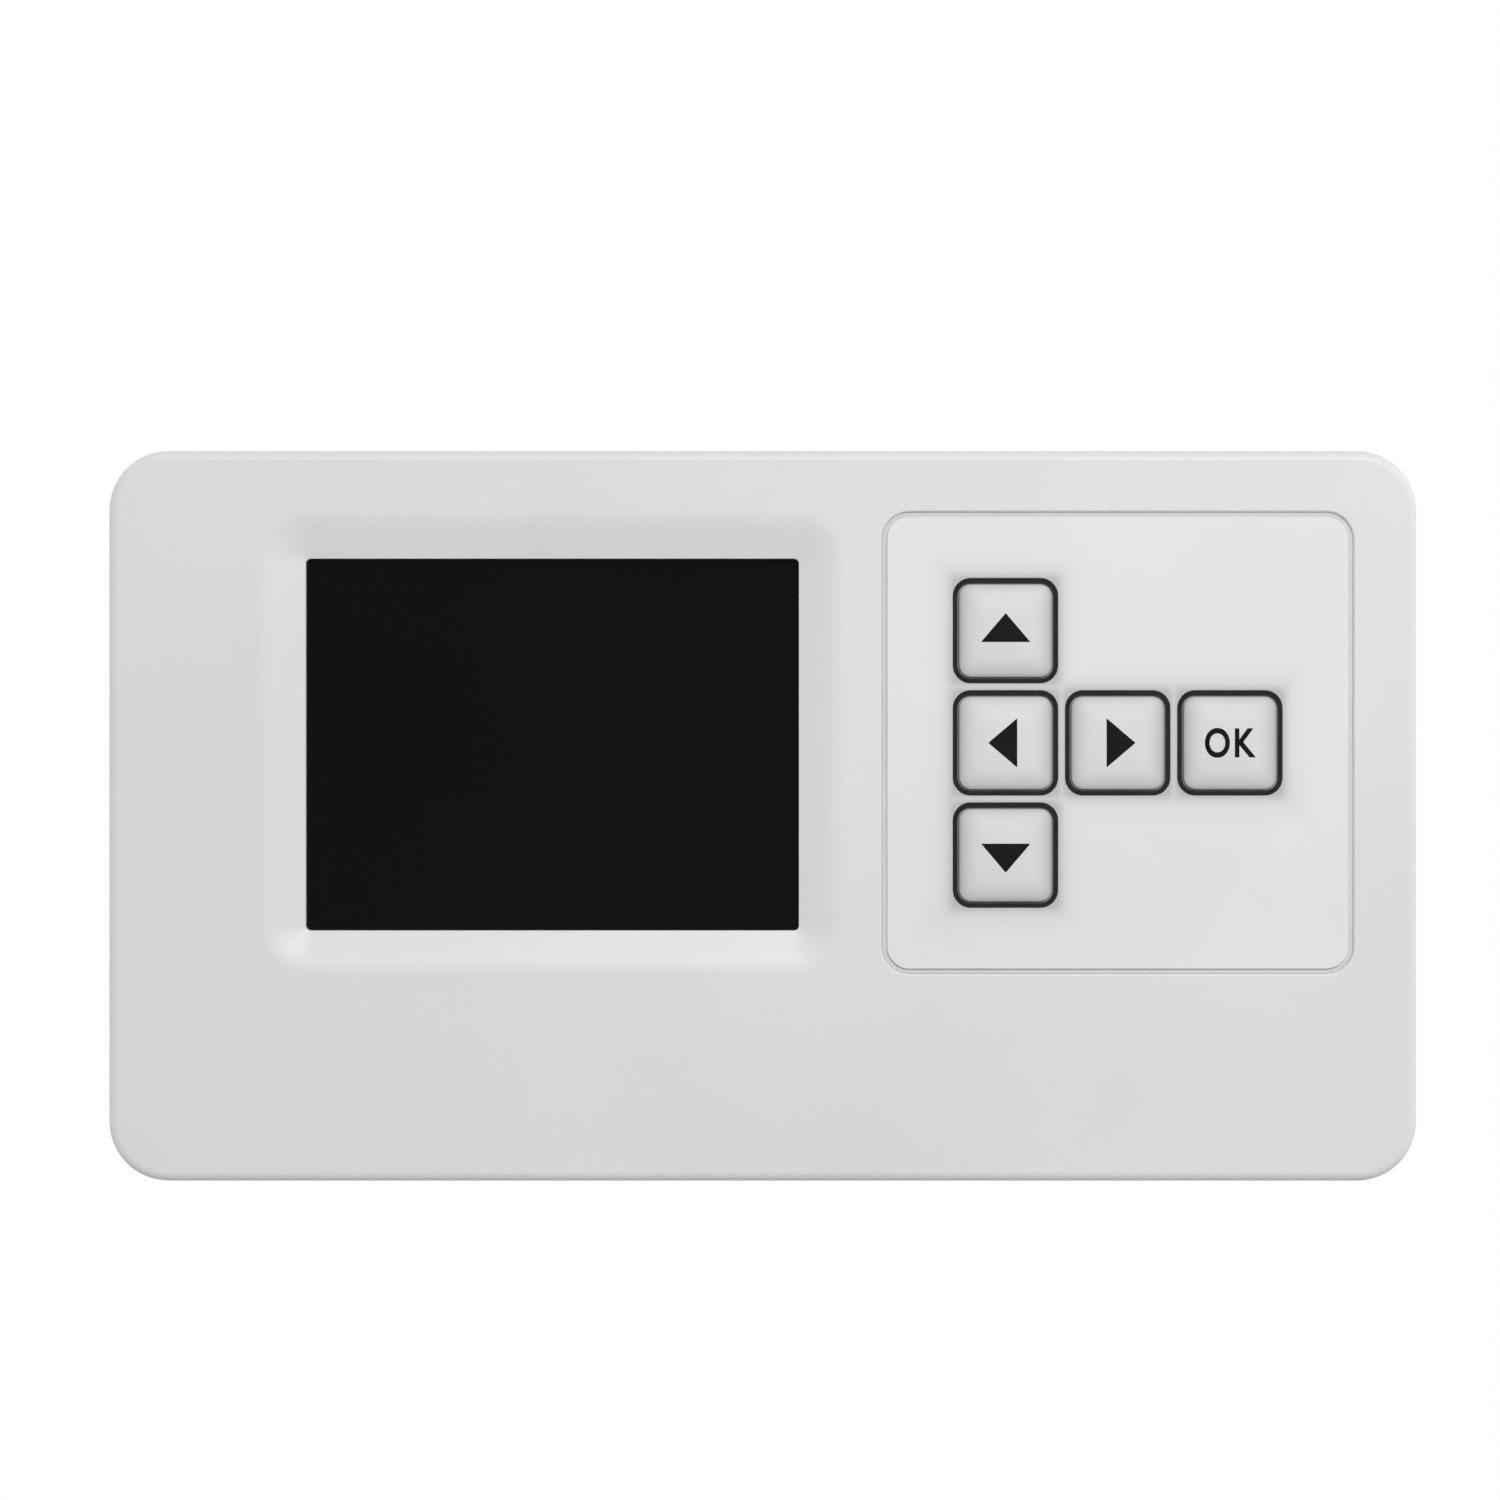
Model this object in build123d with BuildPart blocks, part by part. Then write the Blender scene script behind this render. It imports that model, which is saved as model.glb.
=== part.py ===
"""Wall thermostat: a flat housing with a recessed colour display and a five-key pad, hung on a steel wall plate.

The wall is the XZ plane and the room is on its -Y side. X runs to the right as one faces the front and
Z runs up. A depth is a distance from the wall into the room. All sizes are in millimetres.
"""

import os

from build123d import *

# Driving dimensions: housing
body_width = 154.0
body_height = 86.0
body_depth = 27.0
body_corner_radius = 7.0
skirt_wall = 2.2
face_wall = 2.5
front_edge_radius = 1.2
least_corner_radius = 0.5
parting_depth = 8.0
parting_chamfer = 0.35

# Borders of the front: shares of the width and height that the display and the keypad leave free
left_border_share = 0.59
right_border_share = 0.236
top_border_share = 0.2287

# Rear cover
rim_gap = 0.5
rear_floor_depth = 4.5
rear_floor_wall = 2.0
rear_edge_chamfer = 0.6
lip_gap = 0.2
lip_wall = 1.4
lip_height = 2.5

# Display window and the sloped surround that leads the eye down to it
window_width = 58.2
window_height = 43.9
window_corner_radius = 0.6
window_drop = 0.2
bevel_width = 4.2
bevel_depth = 1.5
bevel_rise = 0.3
bevel_edge_radius = 7.0

# Display lens, gasket and module
lens_margin = 2.5
lens_thickness = 1.0
lens_corner_radius = 1.5
lens_rib_wall = 1.2
lens_rib_height = 1.3
gasket_thickness = 0.5
gasket_inset = 0.4
module_near_border = 3.1
module_tail_border = 8.1
module_side_border = 3.15
module_corner_radius = 0.8
glass_thickness = 0.55
tail_ledge = 4.0
backlight_thickness = 1.6
frame_wall = 1.0
frame_seat = 3.0
frame_grip = 1.9
frame_peg_radius = 1.0

# Keypad: a printed overlay on a spacer, in a shallow pocket of the front face
pocket_width = 55.4
pocket_height = 54.3
pocket_corner_radius = 3.2
pocket_depth = 1.05
pocket_edge_radius = 0.3
overlay_gap = 0.6
overlay_thickness = 0.3
spacer_gap = 0.02
spacer_thickness = 0.7

# Key pads: pillow tops that stand through the overlay, each with a flange trapped under it
key_pitch = 13.2
key_size = 10.95
key_corner_radius = 1.2
key_rise = 0.5
key_crown = 0.25
key_crown_inset = 1.8
key_crown_corner_radius = 2.0
key_edge_chamfer = 0.3
key_gap = 0.15
key_flange = 0.55
key_flange_thickness = 0.2
key_float = 0.05
key_cells = {"up": (-1, 1), "left": (-1, 0), "right": (0, 0), "set": (1, 0), "down": (-1, -1)}

# Tactile switches under the keys
switch_size = 6.0
switch_height = 7.5
switch_base_height = 3.2
switch_base_chamfer = 0.6
switch_cover_thickness = 0.3
switch_well_radius = 2.0
switch_well_depth = 2.6
plunger_radius = 1.6
plunger_collar_radius = 1.85
plunger_collar_height = 0.8
plunger_rest_gap = 0.9
plunger_hole_gap = 0.5

# Main board
board_gap = 2.8
board_notch_gap = 0.8
board_thickness = 1.6
board_corner_radius = 1.5
board_screw_side_inset = 11.0
board_screw_end_inset = 5.0
board_boss_radius = 3.0

# Screws: one kind closes the housing, the other holds the board
case_screw_inset = 7.2
case_boss_radius = 3.0
case_boss_depth = 9.0
case_seat_depth = 7.0
case_screw_radius = 1.1
case_screw_length = 10.0
case_head_radius = 2.0
case_head_height = 1.6
screw_head_chamfer = 0.5
board_screw_radius = 1.1
board_screw_length = 6.0
board_head_radius = 2.1
board_head_height = 1.5
screw_clearance = 0.05
hole_clearance = 0.2
drive_slot_width = 0.7
drive_slot_depth = 0.8
web_thickness = 1.2
web_gap = 0.4

# Vents in the top and bottom of the skirt
vent_count = 22
vent_pitch = 5.0
vent_width = 1.8
vent_length = 8.5
vent_depth = 16.5

# Wall plate, its screw slots and the hooks that the housing hangs on
plate_slot_margin = 2.4
plate_gap = 1.3
plate_thickness = 1.2
plate_corner_radius = 4.0
wide_screw_pitch = 120.6
box_screw_pitch = 60.3
screw_slot_width = 4.2
screw_slot_length = 8.0
hook_x = 54.0
hook_z_values = (18.0, -26.0)
hook_neck = 3.0
hook_nose = 4.0
hook_nose_thickness = 1.4
hook_nose_gap = 0.3
hook_rest_gap = 0.1
hook_side_gap = 0.4
hook_window = 6.0
lift_travel = 4.5
lift_spare = 0.5

# Cable opening, which runs through the plate and the rear cover to the terminals
cable_width = 40.0
cable_height = 30.0
cable_corner_radius = 3.0
plate_cable_margin = 1.5
collar_wall = 1.2
collar_height = 2.0

# Terminal block
terminal_ways = 6
terminal_pitch = 5.08
terminal_height = 8.2
terminal_depth = 10.0
terminal_z = 8.1
terminal_edge_radius = 0.4
clamp_width = 3.6
clamp_height = 5.4
clamp_depth = 4.6
clamp_gap = 0.1
clamp_recess = 0.8
clamp_floor = 1.2
clamp_mouth_width = 2.4
clamp_mouth_depth = 2.6
terminal_screw_radius = 1.0
terminal_head_radius = 1.5
terminal_head_height = 1.3
terminal_head_sink = 0.9

# Parts on the board
relay_place = (-38.0, 12.0)
relay_length = 20.0
relay_width = 10.0
relay_gap = 0.85
relay_edge_chamfer = 0.5
relay_foot = 0.5
buzzer_x = 42.0
buzzer_edge_inset = 16.0
buzzer_radius = 4.8
buzzer_height = 4.5
buzzer_edge_chamfer = 0.5
buzzer_port_radius = 1.0
buzzer_port_depth = 1.2
chip_place = (38.0, 4.0)
chip_size = 10.0
chip_height = 1.4
chip_edge_chamfer = 0.3
chip_leads_per_side = 11
chip_lead_pitch = 0.8
chip_lead_width = 0.35
chip_lead_reach = 1.0
chip_lead_thickness = 0.2
cell_x = -38.0
cell_edge_inset = 20.0
cell_radius = 10.0
cell_height = 3.2
cell_edge_chamfer = 0.4
holder_gap = 0.2
holder_wall = 1.3
holder_floor = 0.8
holder_rim = 2.4
holder_notch = 8.0
capacitor_x = 40.0
capacitor_edge_inset = 14.0
capacitor_radius = 4.0
capacitor_gap = 1.25
capacitor_groove = 0.4
capacitor_groove_height = 1.6
capacitor_edge_chamfer = 0.5
choke_x = 26.0
choke_edge_inset = 16.0
choke_size = 10.0
choke_height = 4.4
choke_corner_chamfer = 2.2
choke_winding_radius = 3.4
choke_winding_recess = 0.6
sensor_x = -52.0
sensor_edge_inset = 4.0
sensor_bead_radius = 1.3
sensor_bead_length = 3.0
sensor_bead_chamfer = 0.5
sensor_lead_width = 0.5
sensor_lead_pitch = 1.3
sensor_stand = 3.0
sensor_drop = 2.6
sensor_bend_radius = 1.0

# Display ribbon and its connector
ribbon_width = 24.0
ribbon_thickness = 0.2
ribbon_bond = 3.0
ribbon_slant = 1.6
ribbon_insert = 1.3
ribbon_bend_radius = 0.9
connector_width = 27.0
connector_length = 4.5
connector_height = 1.6
connector_gap = 1.0
connector_slot_gap = 0.06
connector_lead_in = 1.6

# Derived depths, from the front face back to the wall
face_back = body_depth - face_wall
pocket_floor = body_depth - pocket_depth
spacer_front = pocket_floor + spacer_thickness
overlay_front = spacer_front + overlay_thickness
flange_front = spacer_front - key_float
flange_back = flange_front - key_flange_thickness
key_top = overlay_front + key_rise
key_shoulder = key_top - key_crown
board_front = flange_back - switch_height
board_back = board_front - board_thickness
rear_floor_front = rear_floor_depth + rear_floor_wall
lens_back = face_back - lens_thickness
gasket_back = lens_back - gasket_thickness
panel_back = gasket_back - 2 * glass_thickness
backlight_back = panel_back - backlight_thickness

# Derived places of the keypad pocket and the display window
surround_width = window_width + 2 * bevel_width
free_width = body_width - surround_width - pocket_width
free_height = body_height - pocket_height
window_x = -body_width / 2 + left_border_share * free_width + surround_width / 2
keypad_x = body_width / 2 - right_border_share * free_width - pocket_width / 2
keypad_z = body_height / 2 - top_border_share * free_height - pocket_height / 2
window_z = keypad_z - window_drop

# Derived sizes
lens_width = window_width + 2 * lens_margin
lens_height = window_height + 2 * lens_margin
module_width = window_width + module_near_border + module_tail_border
module_height = window_height + 2 * module_side_border
module_x = window_x + (module_tail_border - module_near_border) / 2
module_right = module_x + module_width / 2
overlay_width = pocket_width - 2 * overlay_gap
overlay_height = pocket_height - 2 * overlay_gap
overlay_corner_radius = pocket_corner_radius - overlay_gap
spacer_width = pocket_width - 2 * spacer_gap
spacer_height = pocket_height - 2 * spacer_gap
spacer_corner_radius = pocket_corner_radius - spacer_gap
key_window = key_size + 2 * key_gap
key_flange_size = key_size + 2 * key_flange
key_crown_size = key_size - 2 * key_crown_inset
spacer_window = key_flange_size + 2 * key_gap
key_window_radius = key_corner_radius + key_gap
flange_corner_radius = key_corner_radius + key_flange
spacer_window_radius = flange_corner_radius + key_gap
key_places = {
    name: (keypad_x + column * key_pitch, keypad_z + row * key_pitch)
    for name, (column, row) in key_cells.items()
}
switch_top = board_front + switch_base_height + switch_cover_thickness
plunger_bottom = board_front + switch_base_height - switch_well_depth + plunger_rest_gap
case_screw_x = body_width / 2 - case_screw_inset
case_screw_z = body_height / 2 - case_screw_inset
case_screw_places = [(x, z) for x in (-case_screw_x, case_screw_x) for z in (-case_screw_z, case_screw_z)]
board_width = body_width - 2 * (skirt_wall + board_gap)
board_height = body_height - 2 * (skirt_wall + board_gap)
board_screw_x = board_width / 2 - board_screw_side_inset
board_screw_z = board_height / 2 - board_screw_end_inset
buzzer_place = (buzzer_x, buzzer_edge_inset - board_height / 2)
cell_place = (cell_x, cell_edge_inset - board_height / 2)
capacitor_place = (capacitor_x, board_height / 2 - capacitor_edge_inset)
choke_place = (choke_x, board_height / 2 - choke_edge_inset)
frame_right = module_right + hole_clearance + frame_wall
switches_left = keypad_x - key_pitch - switch_size / 2
# The display takes the upper left corner, so that screw stands between the display and the switches
board_screw_places = [
    (-board_screw_x, -board_screw_z),
    (board_screw_x, -board_screw_z),
    (board_screw_x, board_screw_z),
    ((frame_right + switches_left) / 2, board_screw_z),
]
frame_peg_x = module_width / 2 - frame_seat / 2
frame_peg_z = module_height / 2 - frame_seat / 2
terminal_width = terminal_ways * terminal_pitch
terminal_back = board_back - terminal_depth
clamp_front = board_back - clamp_floor
clamp_back = clamp_front - clamp_depth
terminal_mouth_z = terminal_z - terminal_height / 2
terminal_ways_x = [
    (way - (terminal_ways - 1) / 2) * terminal_pitch for way in range(terminal_ways)
]


def at(depth):
    """The plane at that depth, facing the room, with X to the right and Z up."""
    return Plane.XZ.offset(depth)


def body_outline(inset):
    """The housing's outline in the open sketch, drawn in by that much all round."""
    RectangleRounded(
        body_width - 2 * inset,
        body_height - 2 * inset,
        max(body_corner_radius - inset, least_corner_radius),
    )


def save(piece, label):
    """Labels a finished piece and writes its STEP file."""
    piece.part.label = label
    export_step(piece.part, f"parts/{label}.step")


os.makedirs("parts", exist_ok=True)

# Wall plate: galvanised sheet with a cable opening, two pairs of screw slots and four lanced hooks
plate_width = wide_screw_pitch + screw_slot_length + 2 * plate_slot_margin
plate_height = body_height - 2 * (skirt_wall + lift_travel + plate_gap)
hook_neck_reach = rear_floor_front + hook_nose_gap
with BuildPart() as wall_plate:
    with BuildSketch(at(0)):
        RectangleRounded(plate_width, plate_height, plate_corner_radius)
        RectangleRounded(
            cable_width + 2 * plate_cable_margin,
            cable_height + 2 * plate_cable_margin,
            cable_corner_radius + plate_cable_margin,
            mode=Mode.SUBTRACT,
        )
        for pitch in (wide_screw_pitch, box_screw_pitch):
            with GridLocations(pitch, 0, 2, 1):
                SlotOverall(screw_slot_length, screw_slot_width, mode=Mode.SUBTRACT)
        # The windows that the hooks were bent out of
        for side in (-1, 1):
            for hook_z in hook_z_values:
                with Locations((side * (hook_x + plate_thickness / 2 + hook_window / 2), hook_z)):
                    Rectangle(hook_window, hook_neck + hook_nose, mode=Mode.SUBTRACT)
    extrude(amount=plate_thickness)
    # Each hook is an upright L of the same sheet, with its nose pointing up
    for side in (-1, 1):
        for hook_z in hook_z_values:
            with BuildSketch(Plane.YZ.offset(side * hook_x)):
                with BuildLine():
                    Polyline(
                        (0, hook_z - hook_neck / 2),
                        (-hook_neck_reach - hook_nose_thickness, hook_z - hook_neck / 2),
                        (-hook_neck_reach - hook_nose_thickness, hook_z + hook_neck / 2 + hook_nose),
                        (-hook_neck_reach, hook_z + hook_neck / 2 + hook_nose),
                        (-hook_neck_reach, hook_z + hook_neck / 2),
                        (0, hook_z + hook_neck / 2),
                        close=True,
                    )
                make_face()
            extrude(amount=plate_thickness / 2, both=True)
save(wall_plate, "wall_plate")

# Rear cover: a tray whose rim hides the wall plate, with hook slots, screw wells and a cable collar
with BuildPart() as rear_cover:
    with BuildSketch(at(rim_gap)):
        body_outline(0)
    extrude(amount=parting_depth - rim_gap)
    chamfer(rear_cover.faces().sort_by(Axis.Y)[-1].edges(), rear_edge_chamfer)
    chamfer(rear_cover.faces().sort_by(Axis.Y)[0].edges(), parting_chamfer)
    with BuildSketch(at(rim_gap)):
        body_outline(skirt_wall)
    extrude(amount=rear_floor_depth - rim_gap, mode=Mode.SUBTRACT)
    with BuildSketch(at(rear_floor_front)):
        body_outline(skirt_wall + lip_gap + lip_wall)
    extrude(amount=parting_depth - rear_floor_front, mode=Mode.SUBTRACT)
    # Lip that centres the front cover
    with BuildSketch(at(parting_depth)):
        body_outline(skirt_wall + lip_gap)
        with BuildSketch(mode=Mode.SUBTRACT):
            body_outline(skirt_wall + lip_gap + lip_wall)
    extrude(amount=lip_height)
    # Screw wells
    with BuildSketch(at(rear_floor_front)):
        with Locations(*case_screw_places):
            Circle(case_boss_radius)
    extrude(amount=case_boss_depth - rear_floor_front)
    with BuildSketch(at(rear_floor_depth)):
        with Locations(*case_screw_places):
            Circle(case_head_radius + hole_clearance)
    extrude(amount=case_seat_depth - rear_floor_depth, mode=Mode.SUBTRACT)
    with BuildSketch(at(case_seat_depth)):
        with Locations(*case_screw_places):
            Circle(case_screw_radius + hole_clearance)
    extrude(amount=case_boss_depth - case_seat_depth, mode=Mode.SUBTRACT)
    # Cable collar and opening
    with BuildSketch(at(rear_floor_front)):
        RectangleRounded(
            cable_width + 2 * collar_wall, cable_height + 2 * collar_wall, cable_corner_radius + collar_wall
        )
    extrude(amount=collar_height)
    with BuildSketch(at(rear_floor_depth)):
        RectangleRounded(cable_width, cable_height, cable_corner_radius)
    extrude(amount=rear_floor_wall + collar_height, mode=Mode.SUBTRACT)
    # Slots for the wall plate's hooks, long enough to lift the housing off
    slot_top = hook_neck / 2 + hook_rest_gap
    slot_bottom = -hook_neck / 2 - lift_travel - lift_spare
    with BuildSketch(at(rear_floor_depth)):
        for side in (-1, 1):
            for hook_z in hook_z_values:
                with Locations((side * hook_x, hook_z + (slot_top + slot_bottom) / 2)):
                    Rectangle(plate_thickness + 2 * hook_side_gap, slot_top - slot_bottom)
    extrude(amount=rear_floor_wall, mode=Mode.SUBTRACT)
save(rear_cover, "rear_cover")

# Front cover: a moulded shell with the display surround, the keypad pocket, bosses, webs and vents
with BuildPart() as front_cover:
    with BuildSketch(at(parting_depth)):
        body_outline(0)
    extrude(amount=body_depth - parting_depth)
    fillet(front_cover.faces().sort_by(Axis.Y)[0].edges(), front_edge_radius)
    chamfer(front_cover.faces().sort_by(Axis.Y)[-1].edges(), parting_chamfer)
    with BuildSketch(at(parting_depth)):
        body_outline(skirt_wall)
    extrude(amount=face_back - parting_depth, mode=Mode.SUBTRACT)
    # Display surround: four slopes with conical corners, eased where they leave the face
    with BuildSketch(at(body_depth)):
        with Locations((window_x, window_z + bevel_rise)):
            RectangleRounded(
                window_width + 2 * bevel_width,
                window_height + 2 * bevel_width,
                window_corner_radius + bevel_width,
            )
    with BuildSketch(at(body_depth - bevel_depth)):
        with Locations((window_x, window_z)):
            RectangleRounded(window_width, window_height, window_corner_radius)
    loft(ruled=True, mode=Mode.SUBTRACT)
    with BuildSketch(at(face_back)):
        with Locations((window_x, window_z)):
            RectangleRounded(window_width, window_height, window_corner_radius)
    extrude(amount=face_wall - bevel_depth, mode=Mode.SUBTRACT)
    front_face = front_cover.faces().sort_by(Axis.Y)[0]
    fillet(front_face.inner_wires()[0].edges(), bevel_edge_radius)
    # Keypad pocket and the holes that the switch plungers reach through
    with BuildSketch(at(body_depth)):
        with Locations((keypad_x, keypad_z)):
            RectangleRounded(pocket_width, pocket_height, pocket_corner_radius)
    extrude(amount=-pocket_depth, mode=Mode.SUBTRACT)
    front_face = front_cover.faces().sort_by(Axis.Y)[0]
    pocket_rim = front_face.inner_wires().sort_by(lambda wire: wire.center().X)[-1]
    fillet(pocket_rim.edges(), pocket_edge_radius)
    with BuildSketch(at(face_back)):
        with Locations(*key_places.values()):
            Circle(plunger_radius + plunger_hole_gap)
    extrude(amount=pocket_floor - face_back, mode=Mode.SUBTRACT)
    # Rib that locates the lens
    with BuildSketch(at(face_back)):
        with Locations((window_x, window_z)):
            RectangleRounded(
                lens_width + 2 * (hole_clearance + lens_rib_wall),
                lens_height + 2 * (hole_clearance + lens_rib_wall),
                lens_corner_radius + hole_clearance + lens_rib_wall,
            )
            RectangleRounded(
                lens_width + 2 * hole_clearance,
                lens_height + 2 * hole_clearance,
                lens_corner_radius + hole_clearance,
                mode=Mode.SUBTRACT,
            )
    extrude(amount=-lens_rib_height)
    # Bosses for the housing and board screws
    with BuildSketch(at(case_boss_depth)):
        with Locations(*case_screw_places):
            Circle(case_boss_radius)
    extrude(amount=face_back - case_boss_depth)
    with BuildSketch(at(board_front)):
        with Locations(*board_screw_places):
            Circle(board_boss_radius)
    extrude(amount=face_back - board_front)
    # Webs from the corner bosses to the skirt, clear of the rear cover's lip
    web_depth = parting_depth + lip_height + web_gap
    with BuildSketch(at(web_depth)):
        for x, z in case_screw_places:
            x_side = x / case_screw_x
            z_side = z / case_screw_z
            skirt_x = body_width / 2 - skirt_wall
            skirt_z = body_height / 2 - skirt_wall
            with Locations((x_side * (case_screw_x + skirt_x) / 2, z)):
                Rectangle(skirt_x - case_screw_x, web_thickness)
            with Locations((x, z_side * (case_screw_z + skirt_z) / 2)):
                Rectangle(web_thickness, skirt_z - case_screw_z)
    extrude(amount=face_back - web_depth)
    # Pilot holes
    with BuildSketch(at(case_boss_depth)):
        with Locations(*case_screw_places):
            Circle(case_screw_radius + screw_clearance)
    extrude(amount=case_screw_length, mode=Mode.SUBTRACT)
    with BuildSketch(at(board_front)):
        with Locations(*board_screw_places):
            Circle(board_screw_radius + screw_clearance)
    extrude(amount=board_screw_length - board_thickness + screw_clearance, mode=Mode.SUBTRACT)
    # Vents through the top and the bottom of the skirt
    with BuildSketch(Plane.XY.offset(-body_height / 2)):
        with Locations((0, -vent_depth)):
            with GridLocations(vent_pitch, 0, vent_count, 1):
                Rectangle(vent_width, vent_length)
    extrude(amount=skirt_wall, mode=Mode.SUBTRACT)
    with BuildSketch(Plane.XY.offset(body_height / 2 - skirt_wall)):
        with Locations((0, -vent_depth)):
            with GridLocations(vent_pitch, 0, vent_count, 1):
                Rectangle(vent_width, vent_length)
    extrude(amount=skirt_wall, mode=Mode.SUBTRACT)
save(front_cover, "front_cover")

# Housing screws, driven from behind: pan heads with a cross slot
with BuildPart() as case_screws:
    with BuildSketch(at(case_seat_depth - case_head_height)):
        with Locations(*case_screw_places):
            Circle(case_head_radius)
    extrude(amount=case_head_height)
    chamfer(case_screws.faces().group_by(Axis.Y)[-1].edges(), screw_head_chamfer)
    with BuildSketch(at(case_seat_depth)):
        with Locations(*case_screw_places):
            Circle(case_screw_radius)
    extrude(amount=case_screw_length)
    with BuildSketch(at(case_seat_depth - case_head_height)):
        with Locations(*case_screw_places):
            Rectangle(case_head_radius, drive_slot_width)
            Rectangle(drive_slot_width, case_head_radius)
    extrude(amount=drive_slot_depth, mode=Mode.SUBTRACT)
save(case_screws, "case_screws")

# Board screws, seated on the back of the board
with BuildPart() as board_screws:
    with BuildSketch(at(board_back - board_head_height)):
        with Locations(*board_screw_places):
            Circle(board_head_radius)
    extrude(amount=board_head_height)
    chamfer(board_screws.faces().group_by(Axis.Y)[-1].edges(), screw_head_chamfer)
    with BuildSketch(at(board_back)):
        with Locations(*board_screw_places):
            Circle(board_screw_radius)
    extrude(amount=board_screw_length)
    with BuildSketch(at(board_back - board_head_height)):
        with Locations(*board_screw_places):
            Rectangle(board_head_radius, drive_slot_width)
            Rectangle(drive_slot_width, board_head_radius)
    extrude(amount=drive_slot_depth, mode=Mode.SUBTRACT)
save(board_screws, "board_screws")

# Main board: carries the display, the key switches and the terminals
with BuildPart() as main_board:
    with BuildSketch(at(board_back)):
        RectangleRounded(board_width, board_height, board_corner_radius)
        with Locations(*case_screw_places):
            Circle(case_boss_radius + board_notch_gap, mode=Mode.SUBTRACT)
        with Locations(*board_screw_places):
            Circle(board_screw_radius + hole_clearance, mode=Mode.SUBTRACT)
        with Locations((module_x, window_z)):
            with GridLocations(2 * frame_peg_x, 2 * frame_peg_z, 2, 2):
                Circle(frame_peg_radius + screw_clearance, mode=Mode.SUBTRACT)
    extrude(amount=board_thickness)
save(main_board, "main_board")

# Display lens, glued behind the window
with BuildPart() as display_lens:
    with BuildSketch(at(lens_back)):
        with Locations((window_x, window_z)):
            RectangleRounded(lens_width, lens_height, lens_corner_radius)
    extrude(amount=lens_thickness)
save(display_lens, "display_lens")

# Foam gasket that keeps dust out between the lens and the glass
with BuildPart() as display_gasket:
    with BuildSketch(at(gasket_back)):
        with Locations((window_x, window_z)):
            RectangleRounded(
                lens_width - 2 * gasket_inset,
                lens_height - 2 * gasket_inset,
                lens_corner_radius - gasket_inset,
            )
            RectangleRounded(
                window_width + 2 * gasket_inset,
                window_height + 2 * gasket_inset,
                window_corner_radius,
                mode=Mode.SUBTRACT,
            )
    extrude(amount=gasket_thickness)
save(display_gasket, "display_gasket")

# Display glass: two sheets, the rear one longer by the ledge that the ribbon is bonded to
with BuildPart() as display_glass:
    with BuildSketch(at(panel_back)):
        with Locations((module_x, window_z)):
            RectangleRounded(module_width, module_height, module_corner_radius)
    extrude(amount=glass_thickness)
    with BuildSketch(at(panel_back + glass_thickness)):
        with Locations((module_x - tail_ledge / 2, window_z)):
            RectangleRounded(module_width - tail_ledge, module_height, module_corner_radius)
    extrude(amount=glass_thickness)
save(display_glass, "display_glass")

# Backlight tray behind the glass
with BuildPart() as backlight:
    with BuildSketch(at(backlight_back)):
        with Locations((module_x, window_z)):
            RectangleRounded(module_width, module_height, module_corner_radius)
    extrude(amount=backlight_thickness)
save(backlight, "backlight")

# Display frame: a seat on the board with low walls that grip the module, and four pegs in the board
with BuildPart() as display_frame:
    with BuildSketch(at(board_front)):
        with Locations((module_x, window_z)):
            RectangleRounded(
                module_width + 2 * (hole_clearance + frame_wall),
                module_height + 2 * (hole_clearance + frame_wall),
                module_corner_radius + hole_clearance + frame_wall,
            )
    extrude(amount=backlight_back - board_front + frame_grip)
    with BuildSketch(at(backlight_back)):
        with Locations((module_x, window_z)):
            RectangleRounded(
                module_width + 2 * hole_clearance,
                module_height + 2 * hole_clearance,
                module_corner_radius + hole_clearance,
            )
    extrude(amount=frame_grip, mode=Mode.SUBTRACT)
    with BuildSketch(at(board_front)):
        with Locations((module_x, window_z)):
            Rectangle(module_width - 2 * frame_seat, module_height - 2 * frame_seat)
    extrude(amount=backlight_back - board_front, mode=Mode.SUBTRACT)
    with BuildSketch(at(board_back)):
        with Locations((module_x, window_z)):
            with GridLocations(2 * frame_peg_x, 2 * frame_peg_z, 2, 2):
                Circle(frame_peg_radius)
    extrude(amount=board_thickness)
save(display_frame, "display_frame")

# Display ribbon: bonded to the glass ledge, then bent down over the frame into its connector
ribbon_front = panel_back + glass_thickness + ribbon_thickness / 2
ribbon_back = board_front + connector_height / 2
ribbon_start = module_right - ribbon_bond
connector_left = switches_left - connector_gap - connector_length
ribbon_shoulder = (frame_right + connector_left - ribbon_slant) / 2
ribbon_foot = ribbon_shoulder + ribbon_slant
ribbon_end = connector_left + ribbon_insert
with BuildPart() as display_ribbon:
    with BuildSketch(Plane.XY.offset(window_z - ribbon_width / 2)):
        with BuildLine():
            FilletPolyline(
                (ribbon_start, -ribbon_front),
                (ribbon_shoulder, -ribbon_front),
                (ribbon_foot, -ribbon_back),
                (ribbon_end, -ribbon_back),
                radius=ribbon_bend_radius,
            )
            offset(amount=ribbon_thickness / 2, kind=Kind.TANGENT)
        make_face()
    extrude(amount=ribbon_width)
save(display_ribbon, "display_ribbon")

# Ribbon connector on the front of the board, with a slot that the ribbon slides into
with BuildPart() as ribbon_connector:
    with BuildSketch(at(board_front)):
        with Locations((connector_left + connector_length / 2, window_z)):
            Rectangle(connector_length, connector_width)
    extrude(amount=connector_height)
    with BuildSketch(Plane.YZ.offset(connector_left)):
        with Locations((-ribbon_back, window_z)):
            Rectangle(ribbon_thickness + 2 * connector_slot_gap, ribbon_width + 2 * connector_slot_gap)
    extrude(amount=connector_lead_in, mode=Mode.SUBTRACT)
save(ribbon_connector, "ribbon_connector")

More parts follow.
